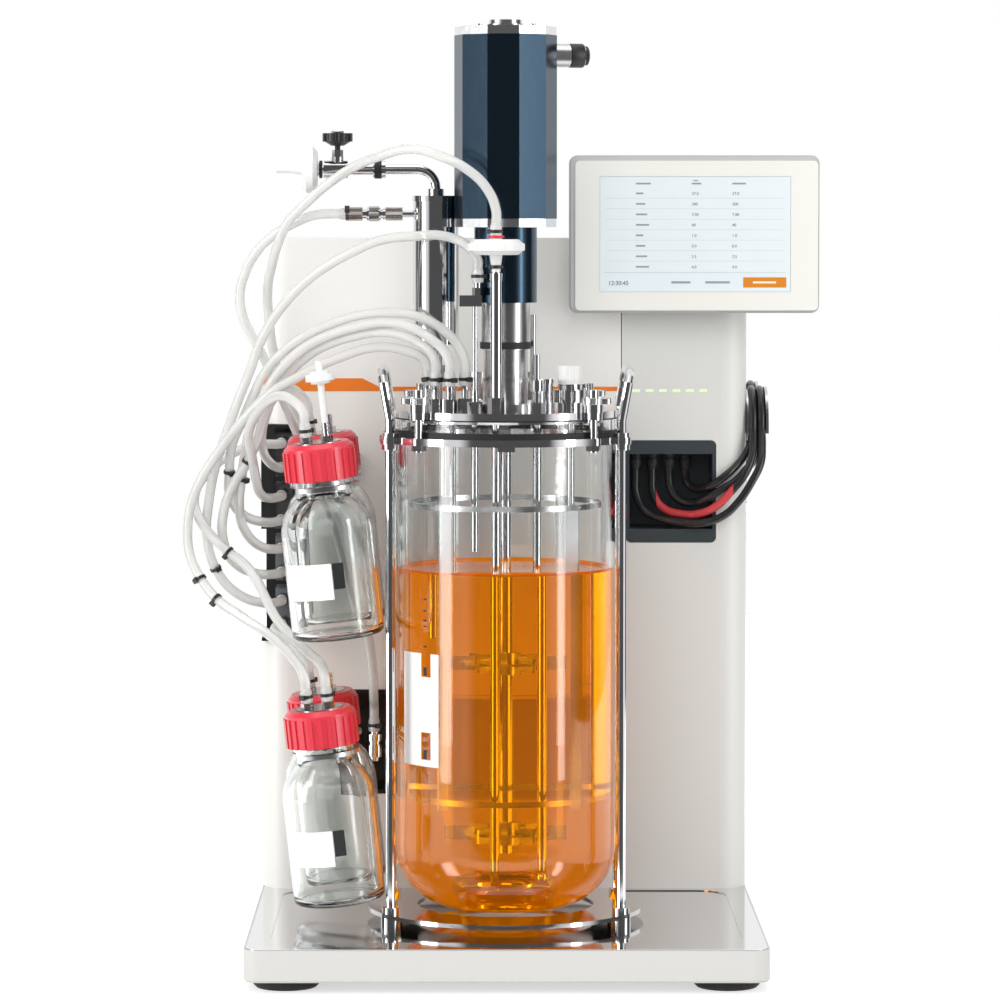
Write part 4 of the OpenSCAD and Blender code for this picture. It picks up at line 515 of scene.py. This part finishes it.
plug_metal = finish("plug_nickel", (0.62, 0.62, 0.62), 0.25, metallic=1, grain=900)
plug_rubber = finish("plug_rubber", (0.02, 0.02, 0.022), 0.5, shade=0.2, grain=700)
for i, start in enumerate(lead_starts):
    place = lead_places[i]
    bend_r = hook_r + (lead_d + 0.0003) * (0.5 if place < 2 else 1.5) + 0.0004
    side = hook_side + (lead_d + 0.0002) * (place % 2 + 0.5)
    route = list(start)
    for hook, steps in ((0, range(7)), (1, range(3, 10))):
        if hook:
            route.append((side, sum(hook_y) / 2, hook_z - 0.014 + bend_r - hook_r))
        for k in steps:
            turn = math.radians(20 * k)
            route.append((side, hook_y[hook] - bend_r * math.cos(turn),
                          hook_z + bend_r * math.sin(turn)))
    tail_y = hook_y[1] + 0.0145 + 0.0075 * place
    tail_z = hook_z - 0.040 - 0.028 * place
    route += [(side, tail_y, hook_z - 0.022), (tail_x, tail_y, (hook_z - 0.022 + tail_z) / 2),
              (tail_x, tail_y, tail_z)]
    line = [from_axis(*point) for point in route]
    lead = tube_along(f"sensor_lead_{i + 1}", line, lead_d)
    show(lead, lead.name, red_jacket if i == 1 else black_jacket, "instrument", "black_jacket",
         "sensor_leads")
    boot = turned(f"lead_boot_{i + 1}", [(0.0034, -0.012), (0.0046, -0.009), (0.0046, -0.0048),
                                         (0.004, -0.0042), (0.004, -0.0034), (0.0046, -0.0028),
                                         (0.0046, 0), (0, 0)])
    stand(boot, line[0] + Vector((0, 0, 0.0123)), (0, 0, 1))
    show(smooth(boot), boot.name, plug_rubber, "instrument", "black_jacket", "lead_plugs")
    grip = [(r, z - plug_l) for r, z in ring_of(0.014, 0.0045, 6)]
    plug = turned(f"free_plug_{i + 1}", [(0, -plug_l)] + grip
                  + [(0.0041, -0.0115), (0.0044, -0.011), (0.0044, -0.006), (0.0033, 0), (0, 0)])
    stand(plug, line[-1] - Vector((0, 0, 0.0003)), (0, 0, 1))
    show(smooth(plug), plug.name, plug_metal, "instrument", "black_jacket", "lead_plugs")


# --- Tray ---
# A painted housing on four rubber feet, with a mirror polished steel plate let into its top. The
# plate lies a little below the rim, so that a spill stays on it.
def dress(node, material, angle=30):
    thing = frame["nodes"][node]
    thing.data.materials.clear()
    thing.data.materials.append(material)
    smooth(thing, angle)
    return thing


warm_white = finish("warm_white_paint", (0.845, 0.835, 0.80), 0.4, shade=0.008, grain=900,
                    bump=0.015, Coat_Weight=0.2, Coat_Roughness=0.25)
mirror_plate = finish("polished_plate", (0.76, 0.76, 0.765), 0.075, metallic=1, shade=0.012,
                      wear=0.02, grain=40, bump=0.0, stretch=(1, 10, 1))
foot_rubber = finish("foot_rubber", (0.02, 0.02, 0.02), 0.7, shade=0.2, grain=800, bump=0.2)
# The housing is a darker white than the tower: painted shade that holds down the light its face
# catches near the floor.
tray_white_painted_shade = finish("tray_paint", (0.625, 0.615, 0.59), 0.4, shade=0.008, grain=900, bump=0.015,
                    Coat_Weight=0.2, Coat_Roughness=0.25)
dress("tray_housing", tray_white_painted_shade)
dress("tray_plate", mirror_plate)
dress("rubber_feet", foot_rubber)

# --- Tower ---
# Two bent sheet housings side by side, closed at the back by one panel. The left one is warm
# white, the column on the right a cooler grey white, and both are powder coated.
column_white = finish("column_paint", (0.70, 0.70, 0.67), 0.42, shade=0.008, grain=900, bump=0.02)
dress("tower_shell", warm_white)
dress("column_shell", column_white)
dress("back_panel", warm_white)

# The orange stripe is a gloss film strip, the lights a row of clear lenses over green lamps
stripe_film = finish("orange_film", (0.86, 0.20, 0.005), 0.3, shade=0.02, grain=300,
                     Coat_Weight=0.3)
light_lens = finish("light_lens", (0.62, 0.86, 0.45), 0.25, shade=0.03, grain=300,
                    Emission_Color=(0.60, 1.0, 0.42, 1), Emission_Strength=0.4)
dress("accent_stripe", stripe_film)
dress("status_lights", light_lens)


def screw_head(name, place, way, radius=0.003, body="instrument", slot="satin_steel"):
    """A pan head screw with a round socket."""
    head = turned(name, [(0, 0), (radius, 0), (radius, radius * 0.35),
                         (radius * 0.82, radius * 0.6), (radius * 0.5, radius * 0.62),
                         (radius * 0.48, radius * 0.18), (0, radius * 0.18)], 24)
    return show(smooth(stand(head, place, way), 40), name, satin_steel, body, slot)


satin_steel = finish("satin_steel", (0.62, 0.62, 0.62), 0.24, metallic=1, shade=0.02, wear=0.03,
                     grain=260, bump=0.004, stretch=(0.04, 0.04, 6))
bright_steel = finish("bright_steel", (0.74, 0.74, 0.75), 0.09, metallic=1, shade=0.015, wear=0.025,
                      grain=120, bump=0.0)
back_low, back_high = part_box("back_panel")
screw_shares = ((0.05, 0.04), (0.5, 0.04), (0.95, 0.04), (0.05, 0.5), (0.95, 0.5),
                (0.05, 0.96), (0.5, 0.96), (0.95, 0.96))
for number, (share_x, share_z) in enumerate(screw_shares):
    spot = Vector((back_low.x + (back_high.x - back_low.x) * share_x, back_high.y - 0.0003,
                   back_low.z + (back_high.z - back_low.z) * share_z))
    screw_head(f"back_screw_{number + 1}", spot, (0, 1, 0))

# --- Bays ---
# Moulded liners behind the tower's face: slate for the sensors, black for the pumps and the
# service couplings. Grey connector blocks and white rotors show in the pump bay.
def two_tone(material, thing, axis, middle, reach, colour):
    """Paints the band of a piece within reach of middle, along one axis, in a second colour."""
    nodes, links = material.node_tree.nodes, material.node_tree.links
    tint = next(node for node in nodes if node.type == "VALTORGB")
    place = next(node for node in nodes if node.type == "TEX_COORD")
    split = nodes.new("ShaderNodeSeparateXYZ")
    links.new(place.outputs["Object"], split.inputs[0])
    band = nodes.new("ShaderNodeMath")
    band.operation = "COMPARE"
    local = thing.matrix_world.inverted() @ Vector((middle, middle, middle))
    band.inputs[1].default_value = local["XYZ".index(axis)]
    band.inputs[2].default_value = reach
    links.new(split.outputs[axis], band.inputs[0])
    pair = nodes.new("ShaderNodeMix")
    pair.data_type = "RGBA"
    links.new(band.outputs[0], pair.inputs["Factor"])
    links.new(tint.outputs["Color"], pair.inputs[6])
    pair.inputs[7].default_value = (*colour, 1)
    links.new(pair.outputs[2], nodes["Principled BSDF"].inputs["Base Color"])
    return material


slate = finish("slate_moulding", (0.040, 0.052, 0.060), 0.4, shade=0.06, grain=900, bump=0.04)
moulding_black = (0.014, 0.014, 0.015)
black_moulding = finish("black_moulding", moulding_black, 0.38, shade=0.12, grain=900, bump=0.04)
grey_moulding = finish("grey_moulding", (0.16, 0.17, 0.18), 0.4, shade=0.05, grain=900, bump=0.03)
white_moulding = finish("white_moulding", (0.82, 0.82, 0.80), 0.36, shade=0.015, grain=700,
                        bump=0.02)
dress("sensor_bay", slate)
dress("pump_bay", black_moulding)
dress("pump_heads", grey_moulding)
dress("pump_motors", satin_steel)
for number in range(1, 5):
    dress(f"pump_rotor_{number}", white_moulding)

# The service bay's liner is black only at its left end
liner_middle, liner_reach = axis_x + 0.12, 0.2
service_liner = finish("service_liner", moulding_black, 0.38, shade=0.12, grain=900, bump=0.04)
two_tone(service_liner, frame["nodes"]["service_bay"], "X", liner_middle, liner_reach,
         (0.80, 0.79, 0.76))
dress("service_bay", service_liner)
dress("service_couplings", bright_steel)

# --- Screen ---
# A touch screen in a case with a white front plate, on a bracket in front of the column. The case's
# grey sides are painted shade. The figures on its page stand for ones that can't be read.
screen_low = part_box("screen_case")[0]
panel_low, panel_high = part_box("screen_panel")
plate_t = 0.0011
# The case is grey on its sides as painted shade; only the front plate, within plate_t of its face,
# is white.
case_grey_painted_shade = finish("case_paint", (0.50, 0.50, 0.50), 0.36, shade=0.006, grain=900, bump=0.012)
case_paint = two_tone(case_grey_painted_shade, frame["nodes"]["screen_case"], "Y", screen_low.y, plate_t,
                      (0.79, 0.785, 0.735))
bracket_grey = finish("bracket_grey", (0.40, 0.40, 0.41), 0.4, metallic=0.6, grain=500, bump=0.01)
screen_glass = finish("screen_glass", (0.66, 0.72, 0.74), 0.16, shade=0.008, grain=25, bump=0.0,
                      Emission_Color=(0.78, 0.87, 0.94, 1), Emission_Strength=0.1)
dress("screen_bracket", bracket_grey)
dress("screen_case", case_paint)
dress("screen_panel", screen_glass)


page_layer = 0.00006


def page_blocks(name, blocks, colour, glow=0.0, layer=1):
    """Printed blocks of the screen's page: (left, top, width, height) in mm from its corner."""
    form = bmesh.new()
    y = panel_low.y - page_layer * layer
    for left, top, wide, high in blocks:
        x0, z1 = panel_low.x + left / 1000, panel_high.z - top / 1000
        x1, z0 = x0 + wide / 1000, z1 - high / 1000
        corners = ((x0, y, z0), (x1, y, z0), (x1, y, z1), (x0, y, z1))
        form.faces.new([form.verts.new(corner) for corner in corners])
    thing = piece_from(form, name)
    ink = finish(name + "_ink", colour, 0.2, shade=0.01, grain=60, bump=0.0,
                 Emission_Color=(*colour, 1), Emission_Strength=glow)
    return show(thing, name, ink, "instrument", "display")


def page_number(name, text, left, base, high, ink, layer=2):
    """A figure on the page, its foot on the line at base mm below the page's top."""
    line = bpy.data.curves.new(name, "FONT")
    line.body = text
    line.size = high / 1000
    thing = bpy.data.objects.new(name, line)
    bpy.context.scene.collection.objects.link(thing)
    thing.rotation_euler = (math.radians(90), 0, 0)
    thing.location = (panel_low.x + left / 1000, panel_low.y - page_layer * layer,
                      panel_high.z - base / 1000)
    return show(thing, name, ink, "instrument", "display")


# The page: a heading row, eight rows of a name, a reading and a set value, and a footer with an
# orange button. Bars stand for the words
row_tops = [10.5 + 7.7 * row for row in range(8)]
name_x, reading_x, target_x = 26.3, 67.3, 97.1
name_widths = [5.5 + 5.7 * ((row * 5) % 4) / 4 for row in range(8)]
page_blocks("page_field", [(4, 2.2, 132, 67.2)], (0.68, 0.73, 0.75), 0.1)
page_blocks("page_rules", [(4, top + 5.2, 132, 0.22) for top in row_tops[:-1]]
            + [(3, 70.2, 134, 0.35)], (0.50, 0.56, 0.60), 0.04, 2)
page_blocks("page_names",
            [(name_x, top + 1.1, wide, 1.3) for top, wide in zip(row_tops, name_widths)]
            + [(name_x, 4.4, 11, 1.3), (reading_x, 4.4, 7, 1.3), (68.6, 2.4, 3.4, 0.9),
               (target_x, 4.4, 10, 1.3)]
            + [(52.5, 76.8, 14, 1.6), (77.5, 76.8, 18, 1.6)], (0.30, 0.33, 0.36), 0.0, 2)
page_blocks("page_button", [(105.3, 73.9, 31.7, 7.5)], (0.66, 0.22, 0.02), 0.05, 2)
page_blocks("page_button_name", [(112.5, 76.9, 17, 1.5)], (0.86, 0.74, 0.62), 0.05, 3)
page_ink = finish("page_figures_ink", (0.10, 0.12, 0.14), 0.3, shade=0.01, grain=60, bump=0.0)
readings = ("37.0", "300", "7.00", "40", "1.0", "0.0", "2.5", "4.0")
for row, (top, text) in enumerate(zip(row_tops, readings)):
    page_number(f"page_reading_{row + 1}", text, reading_x, top + 2.9, 3.0, page_ink, 3)
    page_number(f"page_target_{row + 1}", text, target_x, top + 2.9, 3.0, page_ink, 3)
page_number("page_clock", "12:30:45", 6, 79.6, 4.4, page_ink, 3)

# --- Hooks and mains inlet ---
# Two saddles of bent steel strip on the column's side carry the leads. The mains inlet is a black
# moulding let into the back panel, with a recess for the plug and one for the fuse.
dress("lead_hook", satin_steel)
dress("mains_inlet", black_moulding)

# --- Carrying stand ---
# Two rings and two bent rod handles of polished steel hold the vessel. The base ring and the
# top ring are laser cut plates, and the rods pass through both.
dress("stand_base", bright_steel)
dress("stand_ring", bright_steel)
dress("handle_left", bright_steel)
dress("handle_right", bright_steel)

# --- Glass vessel ---
# Borosilicate glass with a round bottom and a ground flange, between two black rubber seals.
# Enamel is fired on it: a white field with two cut-outs, and a column of small dark marks.
clear_glass = finish("borosilicate_glass", (0.975, 0.99, 0.985), 0.015, shade=0.0, wear=0.01,
                     grain=40, bump=0.0, IOR=1.47, Transmission_Weight=1.0)
seal_rubber = finish("seal_rubber", (0.015, 0.015, 0.015), 0.55, shade=0.2, grain=800)
dress("glass_vessel", clear_glass)
dress("vessel_seals", seal_rubber)

vessel_r = 0.079
enamel = finish("white_enamel", (0.88, 0.88, 0.86), 0.45, shade=0.015, grain=600, bump=0.02)


def enamel_patch(name, place, radius, turns, heights, material, frame_turn=None,
                 slot="clear_glass"):
    """A thin curved patch on glass: turns are degrees to the right of straight ahead."""
    form = bmesh.new()
    count = max(2, int(abs(turns[1] - turns[0]) / 3))
    columns = []
    for k in range(count + 1):
        turn = math.radians(turns[0] + (turns[1] - turns[0]) * k / count)
        columns.append([form.verts.new((radius * math.sin(turn), -radius * math.cos(turn), height))
                        for height in heights])
    for near, far in zip(columns, columns[1:]):
        form.faces.new([near[0], far[0], far[1], near[1]])
    if frame_turn:
        bmesh.ops.transform(form, matrix=frame_turn, verts=form.verts)
    bmesh.ops.translate(form, vec=place, verts=form.verts)
    return show(smooth(piece_from(form, name)), name, material, "instrument", slot)


vessel_foot = from_axis(0, 0, 0)
print_r = vessel_r + 0.0002
field_print = finish("field_print", (0.02, 0.022, 0.024), 0.4, shade=0.1, grain=500, bump=0.0)
field_low, field_high = 0.1449, 0.2251
field_left, cut_left, cut_right, field_right = -66, -49.2, -42.3, -37
field_patches = (((field_left, cut_left), (field_low, field_high)),
                 ((cut_left, cut_right), (field_low, 0.1497)),
                 ((cut_left, cut_right), (0.1691, 0.2085)),
                 ((cut_right, field_right), (field_low, field_high)))
for number, (turns, heights) in enumerate(field_patches, 1):
    enamel_patch(f"writing_field_{number}", vessel_foot, print_r, turns, heights, enamel)
mark_turns, mark_reach = (-47.5, -45), 0.0006
dark_marks = ((0.1535, 0.0032), (0.2125, 0.003), (0.2302, mark_reach), (0.2446, mark_reach),
              (0.2487, mark_reach), (0.2555, mark_reach), (0.2637, mark_reach))
for number, (height, reach) in enumerate(dark_marks, 1):
    enamel_patch(f"dark_mark_{number}", vessel_foot, print_r, mark_turns,
                 (height - reach, height + reach), field_print)

# --- Medium ---
# The vessel is filled to about three quarters with a clear amber medium. It wets the glass, so
# its edge stands a little higher there.
glass_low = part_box("glass_vessel")[0]
glass_t, round_r, wet = 0.004, 0.044, 0.0004
liquid_r = vessel_r - glass_t + wet
liquid_round = round_r - glass_t + wet
liquid_z = glass_low.z + glass_t - wet
liquid_top = 0.281
outline = [(0, liquid_z)]
for step in range(13):
    turn = math.radians(90 * step / 12)
    outline.append((liquid_r - liquid_round + liquid_round * math.sin(turn),
                    liquid_z + liquid_round * (1 - math.cos(turn))))
outline += [(liquid_r, liquid_top - 0.1), (liquid_r, liquid_top + 0.0022)]
outline += [(liquid_r - 0.0007, liquid_top + 0.0012), (liquid_r - 0.002, liquid_top + 0.0003),
            (liquid_r - 0.004, liquid_top), (0, liquid_top)]
medium = turned("culture_medium", outline, 128)
stand(medium, from_axis(0, 0, 0))
# An orange glow is painted light: it brightens the medium as if lit from behind.
amber = finish("amber_medium_painted_glow", (1.0, 0.33, 0.002), 0.0, shade=0.0, wear=0.0, bump=0.0, IOR=1.34,
               Transmission_Weight=1.0, Emission_Color=(1.0, 0.32, 0.0, 1), Emission_Strength=0.12)
show(smooth(medium), "culture_medium", amber, "instrument", "clear_glass")

# --- Lid and clamps ---
# The lid is turned from polished steel and lies on an O-ring over the glass flange. Four studs
# with knurled thumb nuts draw it down.
stud_ring_r, stud_r = 0.092, 0.003
lid_top, nut_lift = 0.396, 0.0062
dress("lid", bright_steel)
dress("clamp_screws", bright_steel)


def knurled(name, radius, height, teeth, depth=0.00035):
    """A knurled grip: a short round bar with fine teeth and a bevel at both ends."""
    form = bmesh.new()
    rings = []
    edge = 0.0004
    for z, inset in ((0, edge), (edge, 0), (height - edge, 0), (height, edge)):
        ring = []
        for k in range(2 * teeth):
            reach, turn = radius - inset - depth * (k % 2), math.pi * k / teeth
            ring.append(form.verts.new((reach * math.cos(turn), reach * math.sin(turn), z)))
        rings.append(ring)
    for low, high in zip(rings, rings[1:]):
        for k in range(2 * teeth):
            after = (k + 1) % (2 * teeth)
            form.faces.new([low[k], low[after], high[after], high[k]])
    form.faces.new(rings[0][::-1])
    form.faces.new(rings[-1])
    return piece_from(form, name)


for number in range(4):
    turn = math.radians(45 + 90 * number)
    grip = knurled(f"thumb_grip_{number + 1}", stud_r + 0.0057, 0.0046, 36)
    stand(grip, from_axis(stud_ring_r * math.cos(turn), stud_ring_r * math.sin(turn),
                          lid_top + nut_lift))
    show(grip, grip.name, satin_steel, "instrument", "satin_steel")

# --- Stirrer drive ---
# Motor, adapter, magnetic clutch and bearing stand on the lid; the shaft with its two disc
# turbines hangs below. The motor is dark blue anodised between bright aluminium end plates.
anodised = finish("dark_blue_anodised", (0.030, 0.056, 0.084), 0.2, metallic=0.93, shade=0.04,
                  wear=0.03, grain=400, bump=0.008, stretch=(1, 1, 0.3), Coat_Weight=0.1,
                  Coat_Roughness=0.2)
bright_aluminium = finish("bright_aluminium", (0.80, 0.80, 0.81), 0.2, metallic=1, shade=0.02,
                          grain=500, bump=0.01)
dress("bearing_housing", satin_steel)
dress("clutch_housing", satin_steel)
dress("motor_adapter", anodised)
dress("motor_body", anodised, 15)
dress("motor_caps", bright_aluminium)
dress("motor_socket", satin_steel)
dress("drive_shaft", bright_steel)
dress("impeller_upper", satin_steel)
dress("impeller_lower", satin_steel)

# A black rubber band covers the joint of bearing and clutch, and a dust cap closes the socket
rubber_band = turned("clutch_band", [(0.0176, -0.0026), (0.0183, -0.0024), (0.0184, 0),
                                     (0.0183, 0.0024), (0.0176, 0.0026), (0.0176, -0.0026)],
                     64, closed=False)
clutch_joint_z = 0.4418
stand(rubber_band, from_axis(0, 0, clutch_joint_z))
show(smooth(rubber_band, 60), "clutch_band", seal_rubber, "instrument", "black_plastic")
socket_low, socket_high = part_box("motor_socket")
socket_turn, socket_out = math.radians(15), 0.0472
socket_way = Vector((math.cos(socket_turn), math.sin(socket_turn), 0))
socket_z = (socket_low.z + socket_high.z) / 2
dust_cap = turned("socket_dust_cap", [(0.0081, 0.0), (0.0087, 0.0004), (0.0087, 0.0098),
                                      (0.0083, 0.0104), (0.0070, 0.0106), (0.0069, 0.0134),
                                      (0.0062, 0.0140), (0, 0.0140)], 40)
stand(dust_cap, from_axis(0, 0, 0) + socket_way * socket_out + Vector((0, 0, socket_z)), socket_way)
show(smooth(dust_cap, 40), "socket_dust_cap", black_moulding, "instrument", "black_plastic")

# --- Inside the vessel ---
# Steel baffle strips on two rings, the drilled ring sparger at the end of its tube, and the dip
# tubes. All of them but the baffles hang from the lid.
dress("baffle_cage", satin_steel)
dress("sparger", bright_steel)
dress("dip_tubes", bright_steel)

# --- Fittings on the lid ---
# Hose nozzles, ports and the septum's white cap, with a disc filter on the gas inlet. The
# filter's inlet side is marked with a red ring.
filter_white = finish("filter_white", (0.89, 0.89, 0.88), 0.32, shade=0.01, grain=400, bump=0.01,
                      Transmission_Weight=0.15)
red_moulding = finish("red_moulding", (0.66, 0.02, 0.03), 0.35, shade=0.05, grain=400, bump=0.01)
dress("lid_ports", bright_steel)
dress("septum_cap", white_moulding)
dress("inlet_filter", filter_white)
dress("vent_filters", filter_white)
inlet_x, inlet_y = -0.007, -0.046
inlet_tie_z, rib_z, inlet_mark_z = 0.4985, 0.51, 0.5188
inlet_mark = turned("inlet_filter_mark", [(0.0044, 0), (0.0058, 0.0003), (0.0058, 0.0017),
                                          (0.0042, 0.002), (0.0044, 0)], 36, closed=False)
stand(inlet_mark, from_axis(inlet_x, inlet_y, inlet_mark_z))
show(smooth(inlet_mark), "inlet_filter_mark", red_moulding, "instrument", "red_plastic")
rib_count, rib_ring_r = 24, 0.0199
for number in range(rib_count):
    turn = 2 * math.pi * number / rib_count
    rib = turned(f"inlet_filter_rib_{number + 1}", [(0, 0), (0.0004, 0.0002), (0.0004, 0.0048),
                                                    (0, 0.005)], 8)
    stand(rib, from_axis(inlet_x + rib_ring_r * math.cos(turn),
                         inlet_y + rib_ring_r * math.sin(turn), rib_z))
    show(smooth(rib), rib.name, filter_white, "instrument", "white_plastic")
zip_tie("inlet_filter_tie", from_axis(inlet_x, inlet_y, inlet_tie_z), (0, 0, 1), 0.0042, 2.2)

# --- Exit gas line ---
# A water jacketed cooler of polished tube stands on the lid. A bent tube leads from it to a
# needle valve with a black handwheel, and on to a disc filter.
dress("exit_cooler", bright_steel)
dress("needle_valve", bright_steel)
dress("valve_handwheel", black_moulding)
gas_line_y, gas_line_z = 0.020, 0.568
washer_x, union_x, coupling_z = -0.1342, -0.0945, 0.536
wheel_low, wheel_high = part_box("valve_handwheel")
wheel_nut = turned("handwheel_nut", [(0, 0), (0.0042, 0), (0.0045, 0.0004), (0.0045, 0.0017),
                                     (0.0036, 0.0024), (0, 0.0026)], 6)
stand(wheel_nut, (*((wheel_low + wheel_high) / 2).xy, wheel_high.z - 0.0003))
show(wheel_nut, "handwheel_nut", bright_steel, "handwheel", "polished_steel")
valve_washer = turned("valve_washer", [(0.0025, 0), (0.0062, 0), (0.0064, 0.0004),
                                       (0.0064, 0.0018), (0.0062, 0.0022), (0.0025, 0.0022),
                                       (0.0025, 0)], 32, closed=False)
stand(valve_washer, from_axis(washer_x, gas_line_y, gas_line_z), (1, 0, 0))
show(smooth(valve_washer), "valve_washer", seal_rubber, "instrument", "black_plastic")
union_band = turned("union_band", [(0.0060, 0), (0.0067, 0.0003), (0.0067, 0.0052),
                                   (0.0060, 0.0055), (0.0060, 0)], 32, closed=False)
stand(union_band, from_axis(union_x, gas_line_y, gas_line_z), (1, 0, 0))
show(smooth(union_band), "union_band", seal_rubber, "instrument", "black_plastic")

# Quick couplings with knurled nickel sleeves join the cooling water to the cooler
coupling_nickel = finish("coupling_nickel", (0.56, 0.53, 0.50), 0.22, metallic=1, shade=0.05,
                         grain=500, bump=0.01)
coupling_sleeves = ((-0.1155, 0.0125, 0.0049), (-0.0985, 0.0075, 0.0053),
                    (-0.0865, 0.0125, 0.0048))
for number, (start_x, reach, radius) in enumerate(coupling_sleeves, 1):
    sleeve = knurled(f"cooler_coupling_sleeve_{number}", radius, reach, 26)
    stand(sleeve, from_axis(start_x, gas_line_y, coupling_z), (1, 0, 0))
    show(sleeve, sleeve.name, coupling_nickel, "instrument", "polished_steel")

# --- Feed bottles ---
# Screw neck bottles of clear glass hang in a fork rack on the tower, two in front and two behind,
# with ribbed red caps. The front two have a white field fired on them, with a dark square beside
# it.
cap_red = finish("cap_red", (0.70, 0.035, 0.06), 0.3, shade=0.04, grain=500, bump=0.02,
                 Coat_Weight=0.35, Coat_Roughness=0.2)
bottle_glass = finish("bottle_glass", (0.965, 0.985, 0.975), 0.02, shade=0.0, wear=0.01, grain=40,
                      bump=0.0, IOR=1.45, Transmission_Weight=1.0)
dress("bottle_rack", satin_steel)
dress("bottles", bottle_glass)
dress("bottle_caps", cap_red)
dress("cap_fittings", satin_steel)
bottle_turn = Matrix.Rotation(math.radians(-6), 4, "Y") @ Matrix.Rotation(math.radians(2), 4, "X")
bottle_places = ((-0.119, -0.028, 0.2355), (-0.1185, -0.028, 0.046))
bottle_r, bottle_field_top = 0.033, 0.0555
for number, place in enumerate(bottle_places, 1):
    foot = from_axis(*place)
    enamel_patch(f"bottle_field_{number}", foot, bottle_r + 0.0002, (-64, 2),
                 (0.030, bottle_field_top), enamel, bottle_turn)
    enamel_patch(f"bottle_field_square_{number}", foot, bottle_r + 0.0003, (3, 17),
                 (0.037, bottle_field_top), field_print, bottle_turn)
